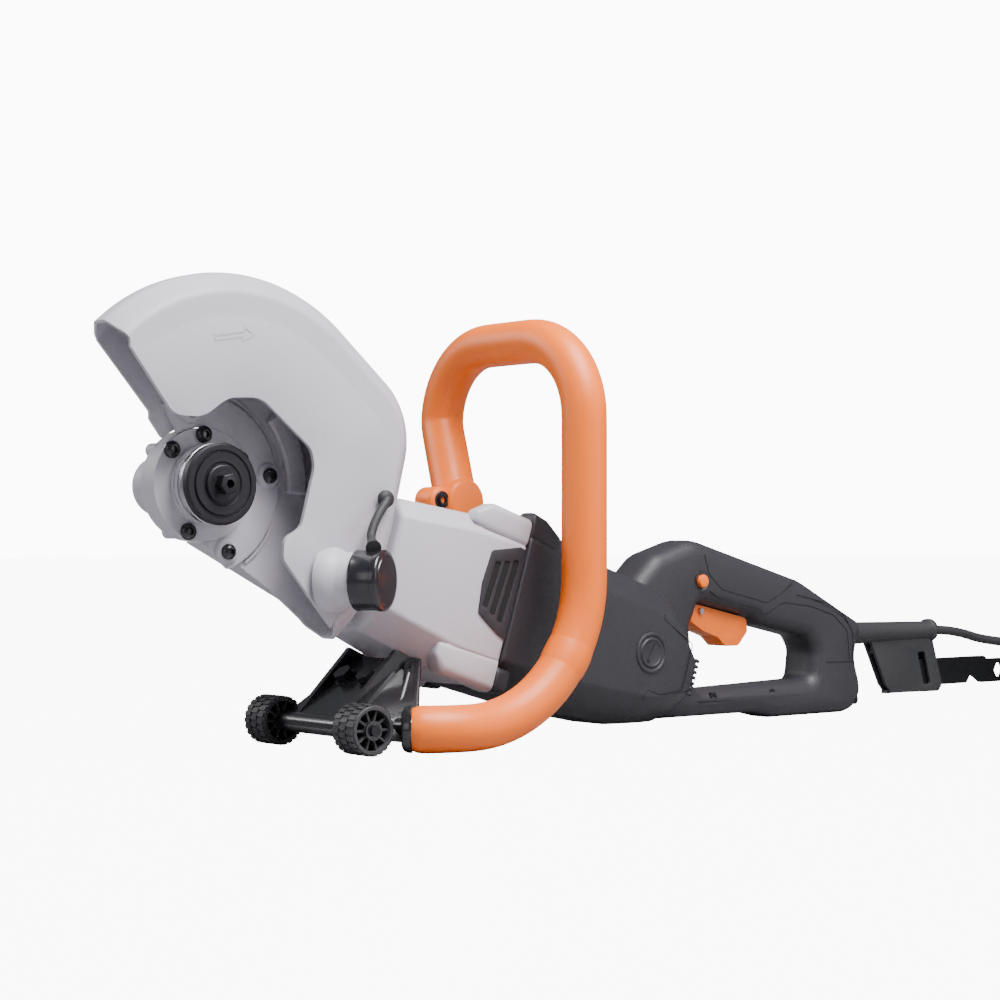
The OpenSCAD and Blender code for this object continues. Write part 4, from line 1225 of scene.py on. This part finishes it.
@dataclass
class Loop:
    """The orange loop handle with its foot and band."""

    x: float = 289.0
    near_y: float = -48.3
    far_y: float = 124.3
    top: float = 114.0
    bend: float = 60.0
    radius: float = 17.0
    sweep: float = 106.0
    sweep_z: float = -66.0
    tail_bend: float = 60.0
    tail_turn: float = 42.0
    tail_run: float = 3.0
    foot: Point3 = (273.0, 86.0, -8.0)

    def path(self) -> list[Vector]:
        """The centreline, from the bracket end up over the top and down to the foot."""
        pts: list[Point3] = []
        tail, bend, sweep = self.tail_bend, self.bend, self.sweep
        x0 = self.x - sweep - self.tail_run
        z0 = self.sweep_z - sweep
        for i in range(13):
            a = math.radians(-90 - self.tail_turn + self.tail_turn * i / 12)
            pts.append((x0 + tail * math.cos(a), self.near_y + tail + tail * math.sin(a), z0))
        for i in range(33):
            a = math.radians(-90 + 90 * i / 32)
            x = self.x - sweep + sweep * math.cos(a)
            pts.append((x, self.near_y, self.sweep_z + sweep * math.sin(a)))
        straight = self.top - bend
        for i in range(1, 20):
            pts.append((self.x, self.near_y, self.sweep_z + (straight - self.sweep_z) * i / 20))
        for i in range(29):
            a = math.radians(180 - 90 * i / 28)
            y = self.near_y + bend + bend * math.cos(a)
            pts.append((self.x, y, straight + bend * math.sin(a)))
        span = self.far_y - self.near_y - 2 * bend
        for i in range(1, 10):
            pts.append((self.x, self.near_y + bend + span * i / 10, self.top))
        for i in range(29):
            a = math.radians(90 - 90 * i / 28)
            y = self.far_y - bend + bend * math.cos(a)
            pts.append((self.x, y, straight + bend * math.sin(a)))
        start, end = Vector((self.x, self.far_y, straight)), Vector(self.foot)
        for i in range(1, 17):
            pts.append(tuple(start.lerp(end, i / 16)))
        out = [Vector(p) for p in pts]
        for _ in range(3):
            inner = [(a + 2 * b + c) / 4 for a, b, c in zip(out, out[1:], out[2:])]
            out = [out[0], *inner, out[-1]]
        return out

    def build(self) -> None:
        """Builds the tube, the foot and the band."""
        path = self.path()
        n = len(path)
        radii = [self.radius] * n
        radii[0] = self.radius - 2.2
        radii[1] = self.radius - 0.5
        mesh = Mesh("Loop handle")
        mesh.tube(path, radii, 64)
        mesh.finish(ORANGE_LOOP, Part.MACHINE, ("loop_handle",), smooth=45)
        self.foot_piece()
        self.band(path)

    def foot_piece(self) -> None:
        """Builds the oval foot with its screw socket."""
        mesh = Mesh("Loop foot")
        fx, fy, fz = self.foot
        for i, (dx, dz, r) in enumerate(((0, 0, 18), (-23, 1, 10.5))):
            quarter = Matrix.Rotation(math.radians(90), 4, "X")
            place = Matrix.Translation((fx + dx, fy, fz + dz)) @ quarter
            mesh.rod(r, 24 if i else 30, place, 40)
        mesh.round_edges(4, 4)
        mesh.block((26, 20, 18), Matrix.Translation((fx - 10, fy, fz - 1)))
        mesh.finish(ORANGE, Part.MACHINE)
        ring = Mesh("Foot socket")
        rim = [(4.2, 0.4), (6.4, 0.4), (7, 0), (7, -1), (4.2, -1)]
        ring.lathe(rim, along_y(fx - 23, fy - 12, fz + 1), 40)
        ring.finish(DARK_STEEL, Part.MACHINE)

    def band(self, path: list[Vector]) -> None:
        """Builds the seam band around the lower bend.

        Args:
            path: the loop's centreline.
        """
        near = [i for i, p in enumerate(path) if p.y < self.near_y + 2 and p.z < -70]
        i = near[int(len(near) * 0.70)]
        mesh = Mesh("Seam band")
        mesh.tube(path[i - 2 : i + 3], [self.radius + d for d in (0.1, 0.7, 0.75, 0.7, 0.1)], 64)
        mesh.finish(ORANGE, Part.MACHINE, smooth=60)


# Rear handle ----------------------------------------------------------------------------


def groove(name: str, points: list[Point3], radius: float = 0.4) -> None:
    """Adds a fine dark line where two mouldings meet, along a run of points."""
    path = [Vector(p) for p in points]
    soft = [path[0]]
    for a, b, c in zip(path, path[1:], path[2:]):
        cut = min(3.0, (b - a).length / 3, (c - b).length / 3)
        start, end = b + (a - b).normalized() * cut, b + (c - b).normalized() * cut
        soft += [start.lerp(b, t).lerp(b.lerp(end, t), t) for t in (0, 0.33, 0.67, 1)]
    soft.append(path[-1])
    mesh = Mesh(name)
    mesh.tube(soft, radius, 8)
    mesh.finish(VENT_SHADE_AND_SEAM_DARK, Part.MACHINE, smooth=80)


@dataclass
class RearHandle:
    """The D-shaped rear handle with its trigger and lock-off button."""

    half_w: float = 22.0

    outline: tuple[tuple[float, float, float], ...] = (
        (392, -104, 2), (404, -70, 16), (426, -50, 26), (470, -37, 34), (600, -73, 70),
        (655, -100, 26), (680, -112, 12), (667, -138, 26), (676, -165, 30),
        (673, FLOOR_Z + 0.3, 22), (566, FLOOR_Z + 0.3, 13), (540, FLOOR_Z + 5.8, 24),
        (430, FLOOR_Z + 5.8, 16), (396, -150, 16),
    )
    opening: tuple[tuple[float, float, float], ...] = (
        (467, -108, 4), (477, -90, 4), (540, -103, 3), (549, -110, 5), (606, -122, 12),
        (614, -134, 10), (611, -158, 8), (472, -162, 9),
    )
    crown: tuple[Point2, ...] = (
        (0, 8), (0.7, 12.5), (2.4, 16.4), (5.2, 19.4), (8.6, 21.2), (12, 22),
    )
    grip_lines: tuple[tuple[Point2, ...], ...] = (
        ((478, -50), (483, -66), (498, -79), (552, -91), (570, -83), (586, -72)),
        ((484, -80), (497, -88), (550, -101), (571, -91), (606, -95), (634, -103), (652, -117),
         (655, -143)),
        ((588, -85), (628, -93), (648, -104), (659, -118), (660, -143)),
        ((625, -144), (661, -144)),
    )

    def body(self) -> None:
        """Builds the handle, with its edges crowned all round."""
        mesh = Mesh("Rear handle")
        levels = [(d, -y) for d, y in reversed(self.crown)] + list(self.crown)
        groups = []
        for corners, sign in ((list(self.outline), 1), (list(self.opening), -1)):
            rings = [
                mesh.ring([(x, BODY_Y + y, z) for x, z in rounded(inset(corners, sign * d), 8)])
                for d, y in levels
            ]
            for a, b in zip(rings, rings[1:]):
                mesh.bridge(a, b)
            groups.append(rings)
        for end in (0, -1):
            mesh.fill(groups[0][end] + groups[1][end])
        mesh.finish(BLACK_NYLON, Part.MACHINE, ("handle_shell_near", "handle_shell_far"), smooth=50)
        for i, line in enumerate(self.grip_lines):
            for side in (-1, 1):
                face = "near" if side < 0 else "far"
                y = BODY_Y + side * self.half_w
                groove(f"Grip line {i + 1} {face}", [(x, y, z) for x, z in line])

    def controls(self) -> None:
        """Builds the trigger, the lock-off button and its dark ring."""
        mesh = Mesh("Trigger")
        mesh.plate(
            rounded(
                [(473, -105, 2), (479, -91, 4), (538, -104, 4), (540, -115, 4), (529, -127, 6),
                 (514, -127, 6), (505, -119, 9), (487, -113, 8)], 6
            ),
            BODY_Y - 10.5, BODY_Y + 10.5,
        )
        mesh.round_edges(1.8, 3, 50)
        mesh.finish(ORANGE, Part.TRIGGER, ("trigger",))
        ring = Mesh("Button recess")
        rim = [(5.7, 0.3), (7.6, 0.7), (8.6, 0.2), (8.8, -1.5), (5.7, -1.5)]
        ring.lathe(rim, along_y(475, BODY_Y - self.half_w, -72), 48)
        ring.finish(GLOSS_BLACK, Part.MACHINE)
        button = Mesh("Lock-off button")
        dome = [(0, 3.7), (3.6, 3.6), (4.8, 3.1), (5.3, 2.1), (5.3, -7), (0, -7)]
        button.lathe(dome, along_y(475, BODY_Y - self.half_w, -72), 40)
        button.finish(ORANGE, Part.LOCK_OFF, ("lock_off_button",), smooth=40)

    def build(self) -> None:
        """Builds the handle and its controls."""
        self.body()
        self.controls()


# Rollers --------------------------------------------------------------------------------


@dataclass
class BracketWeb:
    """The pressed web of the roller bracket, and the collar on the end of the loop."""

    front: tuple[Point3, ...] = (
        (172, 0, -124), (171, 11, -124), (120, 2, -160), (112, -10, -166), (112, -16, -178),
        (134, -33, -181), (144, -36, -168), (150, -26, -158),
    )
    thickness: Point3 = (3.2, 1.2, -0.6)
    collar_at: Point3 = (140, -31.5, -172)
    collar_aim: Point3 = (-0.743, 0.669, 0)

    def build(self) -> None:
        """Builds the web, from the bracket's near screw down to the loop, and the collar."""
        mesh = Mesh("Bracket web")
        back = [tuple(c + d for c, d in zip(p, self.thickness)) for p in self.front]
        mesh.loft([list(self.front), back])
        mesh.round_edges(1.2, 3, 40)
        mesh.finish(BLACK_PAINT, Part.MACHINE)
        collar = Mesh("Loop end collar")
        turn = Vector(self.collar_aim).to_track_quat("Z", "Y").to_matrix().to_4x4()
        place = Matrix.Translation(self.collar_at) @ turn
        collar.lathe([(0, 6), (13, 6), (15.5, 4.5), (16.6, 2), (16.8, -1), (0, -1)], place, 56)
        collar.finish(BLACK_PAINT, Part.MACHINE)


@dataclass
class Roller:
    """One ribbed roller with thin spokes."""

    part: Part
    node: str
    y: float
    x: float = 107.8
    z: float = -171.2
    radius: float = 18.3
    width: float = 25.9
    spokes: int = 10
    lugs: int = 22

    def build(self) -> None:
        """Builds the tyre, its lugs, the spokes and the hub."""
        mesh = Mesh(f"Roller {self.part.value}")
        half = self.width / 2
        place = along_y(self.x, self.y, self.z)
        r = self.radius - 1.1
        mesh.lathe(
            [(r - 2.6, -half), (r - 0.6, -half), (r, -half + 0.6), (r, half - 0.6), (r - 0.6, half),
             (r - 2.6, half), (r - 2.9, half - 0.6), (r - 2.9, -half + 0.6), (r - 2.6, -half)],
            place, 72,
        )
        hub = [
            (4.1, -half + 3), (6.6, -half + 3), (6.8, half - 2.4), (4.1, half - 2.4),
            (4.1, -half + 3),
        ]
        mesh.lathe(hub, place, 40)
        web = [(r - 2.4, -1.5), (r - 2.4, 1.5), (6, 1.5), (6, -1.5), (r - 2.4, -1.5)]
        mesh.lathe(web, place, 64)
        for k in range(self.lugs):
            for row in (-1, 0, 1):
                a = 2 * math.pi * (k + (0.5 if row == 0 else 0)) / self.lugs
                out = Matrix.Translation((r + 0.35, 0, row * 8.4))
                turn = place @ Matrix.Rotation(a, 4, "Z") @ out
                mesh.block((1.5, 3.3, 6.9), turn)
        for k in range(self.spokes):
            turn = place @ Matrix.Rotation(2 * math.pi * k / self.spokes, 4, "Z")
            out = Matrix.Translation(((r + 3.6) / 2, 0, 0))
            mesh.block((r - 7.2, 1.5, self.width - 5), turn @ out)
        mesh.finish(ROLLER_RUBBER, self.part, (self.node,), smooth=30)


# Cord -----------------------------------------------------------------------------------


@dataclass
class Cord:
    """The cord: out of the sleeve, down to the floor, into a coil, and its plug."""

    diameter: float = 8.4
    exit: Point3 = (790.0, BODY_Y, -121.0)
    lead: list[Point3] = field(
        default_factory=lambda: [
            (790, 38, -121), (806, 38, -121.5), (822, 38, -123), (840, 38, -126), (858, 38, -130),
            (878, 37.5, -133), (898, 36, -135.5), (918, 34, -140), (938, 31, -148), (958, 27, -159),
            (974, 23, -170), (988, 19.5, -179), (1002, 16, -184), (1016, 12.5, -185.3),
        ]
    )
    centre: Point2 = (1016.0, -41.7)
    radii: Point2 = (54.2, 45.8)
    layers: int = 4
    turns: int = 8
    steps: int = 72
    open_steps: int = 20
    layer_gap: float = 0.05
    tail_r: float = 62.6
    tail_gap: float = 0.3
    plug: Point3 = (954.0, -102.3, -171.0)

    def coil(self) -> list[Point3]:
        """The turns of the coil: in on one layer, out on the next."""
        outer, inner = self.radii
        low = self.lead[-1][2]
        stops: list[tuple[float, float, float]] = []
        turn = 0.0
        for layer in range(self.layers):
            z = low + layer * (self.diameter + self.layer_gap)
            order = (outer, inner) if layer % 2 == 0 else (inner, outer)
            for r in order:
                stops.append((turn, r, z))
                turn += 1.0
        out: list[Point3] = []
        ease = 0.13
        total = int(turn * self.steps)
        for i in range(1, total - self.open_steps):
            where = i / self.steps
            k = min(int(where), len(stops) - 1)
            _, r, z = stops[k]
            left = 1 - (where - k)
            if left < ease and k + 1 < len(stops):
                share = eased(1 - left / ease)
                r += (stops[k + 1][1] - r) * share
                z += (stops[k + 1][2] - z) * share
            a = math.radians(90 - 360 * where)
            out.append((self.centre[0] + r * math.cos(a), self.centre[1] + r * math.sin(a), z))
        return out

    def tail(self) -> list[Point3]:
        """From the top of the coil down its outside and on to the plug."""
        low = self.lead[-1][2]
        high = low + (self.layers - 1) * (self.diameter + self.layer_gap)
        last = 90 - 360 * (self.turns * self.steps - self.open_steps - 1) / self.steps
        out: list[Point3] = []
        for i in range(1, 33):
            share = i / 32
            a = math.radians(last + (-90 - 360 * self.turns - last) * share)
            wide = eased(min(1.0, share / 0.34))
            down = eased(max(0.0, (share - 0.30) / 0.70))
            r = self.radii[0] + (self.tail_r + self.tail_gap - self.radii[0]) * wide
            x, y = self.centre[0] + r * math.cos(a), self.centre[1] + r * math.sin(a)
            out.append((x, y, high + (low - high) * down))
        y = self.centre[1] - self.tail_r - self.tail_gap
        rest = [
            out[-1], (1004, y, low), (990, y + 0.5, low + 1), (976, y + 1, low + 4),
            (964, y + 1.5, low + 9), self.plug,
        ]
        out += [tuple(p) for p in smooth_path(rest, 3.0)[1:]]
        return out

    def build(self) -> None:
        """Builds the cord as one tube, and its plug."""
        lead = [tuple(p) for p in smooth_path(self.lead, 4.0)]
        path = [Vector(p) for p in lead + self.coil() + self.tail()]
        mesh = Mesh("Mains cord")
        mesh.tube(path, self.diameter / 2, 20)
        cord = mesh.finish(RUBBER, Part.MACHINE, ("cord", "cord_coil", "cord_tail"), smooth=60)
        plug = self.plug_piece()

    def plug_piece(self) -> bpy.types.Object:
        """Builds the round moulded plug, with grip ribs.

        Returns:
            The plug.
        """
        mesh = Mesh("Mains plug")
        place = Matrix.Translation(self.plug) @ Matrix.Rotation(math.radians(-90), 4, "Y")
        mesh.lathe(
            [(0, 0), (6, 0), (6.6, 1), (6.8, 5), (6.2, 5.6), (7.4, 6.6), (7.8, 10), (7.2, 10.6),
             (8.6, 11.6), (9.4, 16), (10.5, 21), (14, 25), (18, 31), (18.5, 34), (18.5, 48),
             (17.6, 49), (0, 49)],
            place, 64,
        )
        return mesh.finish(RUBBER, Part.MACHINE, ("plug",), smooth=35)


@dataclass
class Sleeve:
    """The rubber sleeve that the cord leaves through, with the spanner's holder."""

    start: float = 656.0
    end: float = 790.0
    z: float = -121.0

    def build(self) -> None:
        """Builds the sleeve and the holder plate with its slot."""
        mesh = Mesh("Cord sleeve")
        place = Matrix.Translation((0, BODY_Y, self.z)) @ Matrix.Rotation(math.radians(90), 4, "Y")
        mesh.lathe(
            [(4.3, self.start), (10, self.start), (10, 676), (9.7, 690), (8.3, self.end - 7),
             (9.6, self.end - 6.4),
             (10.5, self.end - 5.4), (10.5, self.end - 1), (9.8, self.end), (4.3, self.end)],
            place, 48,
        )
        mesh.round_edges(0.5, 2)
        mesh.finish(RUBBER, Part.MACHINE, ("cord_sleeve",), smooth=30)
        plate = Mesh("Spanner holder")
        outline = rounded(
            [(701, -126, 2), (787, -127, 2), (789, -134, 3), (801, -171, 5), (796, -177, 5),
             (731, -176, 7), (723, -168, 6)],
            5,
        )
        slot_hole = rounded([(766, -140, 2), (776, -140, 2), (785, -170, 2), (775, -170, 2)], 4)
        plate.plate(outline, BODY_Y - 5, BODY_Y - 2.4, [slot_hole])
        plate.plate(outline, BODY_Y + 2.4, BODY_Y + 5)
        plate.block((60, 4.8, 3), Matrix.Translation((755, BODY_Y, -175)))
        plate.block((76, 4.8, 12), Matrix.Translation((746, BODY_Y, -134)))
        plate.round_edges(0.7, 2)
        plate.finish(RUBBER, Part.MACHINE)


# Scene ----------------------------------------------------------------------------------


@dataclass
class Studio:
    """The camera, the floor and the soft light."""

    eye: Point3 = (-798.99, -1275.42, -36.68)
    yaw: float = 0.6871
    pitch: float = -0.0015
    lens: float = 79.24
    shift: float = 0.0349
    room: float = 0.2
    wall: float = 11.0
    floor_glow: float = 14.0

    def camera(self) -> None:
        """Sets the scene's camera."""
        data = bpy.data.cameras.new("Camera")
        data.sensor_width = 36
        data.lens = self.lens
        data.shift_y = self.shift
        data.clip_start = 0.05
        data.clip_end = 50
        cam = bpy.data.objects.new("Camera", data)
        ahead = Vector(
            (
                math.sin(self.yaw) * math.cos(self.pitch),
                math.cos(self.yaw) * math.cos(self.pitch),
                -math.sin(self.pitch),
            )
        )
        right = Vector((math.cos(self.yaw), -math.sin(self.yaw), 0))
        up = right.cross(ahead)
        turn = Matrix((right, up, -ahead)).transposed().to_4x4()
        cam.matrix_world = Matrix.Translation(Vector(self.eye) * MM) @ turn
        bpy.context.scene.collection.objects.link(cam)
        bpy.context.scene.camera = cam

    def floor(self) -> None:
        """Adds a plain pale floor with a soft sheen."""
        made = bpy.data.materials.new("Pale studio floor")
        made.use_nodes = True
        tree = made.node_tree
        tree.nodes.clear()
        shader = add_node(
            tree,
            "ShaderNodeBsdfPrincipled",
            {"Base Color": linear("#98989C"), "Roughness": 0.16, "Specular IOR Level": 0.5},
        )
        lit = add_node(
            tree, "ShaderNodeEmission", {"Color": linear("#FFFFFF"), "Strength": self.floor_glow}
        )
        seen = add_node(tree, "ShaderNodeLightPath").outputs["Is Camera Ray"]
        glow = add_node(tree, "ShaderNodeMath", {0: seen, 1: 0.7}, operation="MULTIPLY").outputs[0]
        both = add_node(
            tree,
            "ShaderNodeMixShader",
            {0: glow, 1: shader.outputs["BSDF"], 2: lit.outputs["Emission"]},
        )
        add_node(tree, "ShaderNodeOutputMaterial", {"Surface": both.outputs["Shader"]})
        mesh = bmesh.new()
        bmesh.ops.create_grid(mesh, x_segments=1, y_segments=1, size=14)
        data = bpy.data.meshes.new("Floor")
        mesh.to_mesh(data)
        mesh.free()
        data.transform(Matrix.Translation((0.3, 0, (FLOOR_Z - 0.25) * MM)))
        data.materials.append(made)
        floor = bpy.data.objects.new("Floor", data)
        bpy.context.scene.collection.objects.link(floor)

    def light(self, name: str, at: Point3, target: Point3, size: float, power: float) -> None:
        """Adds a square soft light, given in metres and watts."""
        data = bpy.data.lights.new(name, "AREA")
        data.shape = "SQUARE"
        data.size = size
        data.energy = power
        lamp = bpy.data.objects.new(name, data)
        aim = Vector(target) - Vector(at)
        turn = aim.to_track_quat("-Z", "Y").to_matrix().to_4x4()
        lamp.matrix_world = Matrix.Translation(at) @ turn
        bpy.context.scene.collection.objects.link(lamp)

    def build(self) -> None:
        """Builds the camera, floor, lights and surrounding brightness."""
        self.camera()
        self.floor()
        world = bpy.data.worlds.new("Studio")
        world.use_nodes = True
        tree = world.node_tree
        tree.nodes.clear()
        room = add_node(
            tree, "ShaderNodeBackground", {"Color": linear("#F4F6FF"), "Strength": self.room}
        )
        wall = add_node(
            tree, "ShaderNodeBackground", {"Color": linear("#FFFFFF"), "Strength": self.wall}
        )
        seen = add_node(tree, "ShaderNodeLightPath").outputs["Is Camera Ray"]
        both = add_node(
            tree,
            "ShaderNodeMixShader",
            {0: seen, 1: room.outputs["Background"], 2: wall.outputs["Background"]},
        )
        add_node(tree, "ShaderNodeOutputWorld", {"Surface": both.outputs["Shader"]})
        bpy.context.scene.world = world
        self.light("Overhead", (0.25, -0.8, 1.4), (0.2, 0, -0.05), 1.0, 82)
        self.light("Front right", (1.6, -1.9, 0.6), (0.35, 0, -0.05), 1.2, 13)
        self.light("Front left", (-1.7, -0.5, 0.5), (0.1, 0, -0.05), 0.9, 4)
        self.light("Behind left", (-0.9, 1.3, 0.8), (0.1, 0.1, 0), 0.8, 17)


def dress_cad_nodes() -> None:
    """Gives each CAD node that is shown as packed the finish of its real material."""
    for name, look in CAD_FINISHES.items():
        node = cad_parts[name]
        node.data.materials.clear()
        node.data.materials.append(look.material())


def main() -> None:
    logging.basicConfig(level=logging.INFO, format="%(name)s: %(message)s")
    dress_cad_nodes()
    Studio().build()
    Cord().build()
    Sleeve().build()
    Guard().build()
    Spindle().build()
    CoverScrews().build()
    BracketWeb().build()
    Housings().build()
    Loop().build()
    RearHandle().build()
    Roller(Part.NEAR_ROLLER, "roller_near", BODY_Y - ROLLER_OFFSET).build()
    Roller(Part.FAR_ROLLER, "roller_far", BODY_Y + ROLLER_OFFSET).build()


if __name__ == "__main__":
    main()
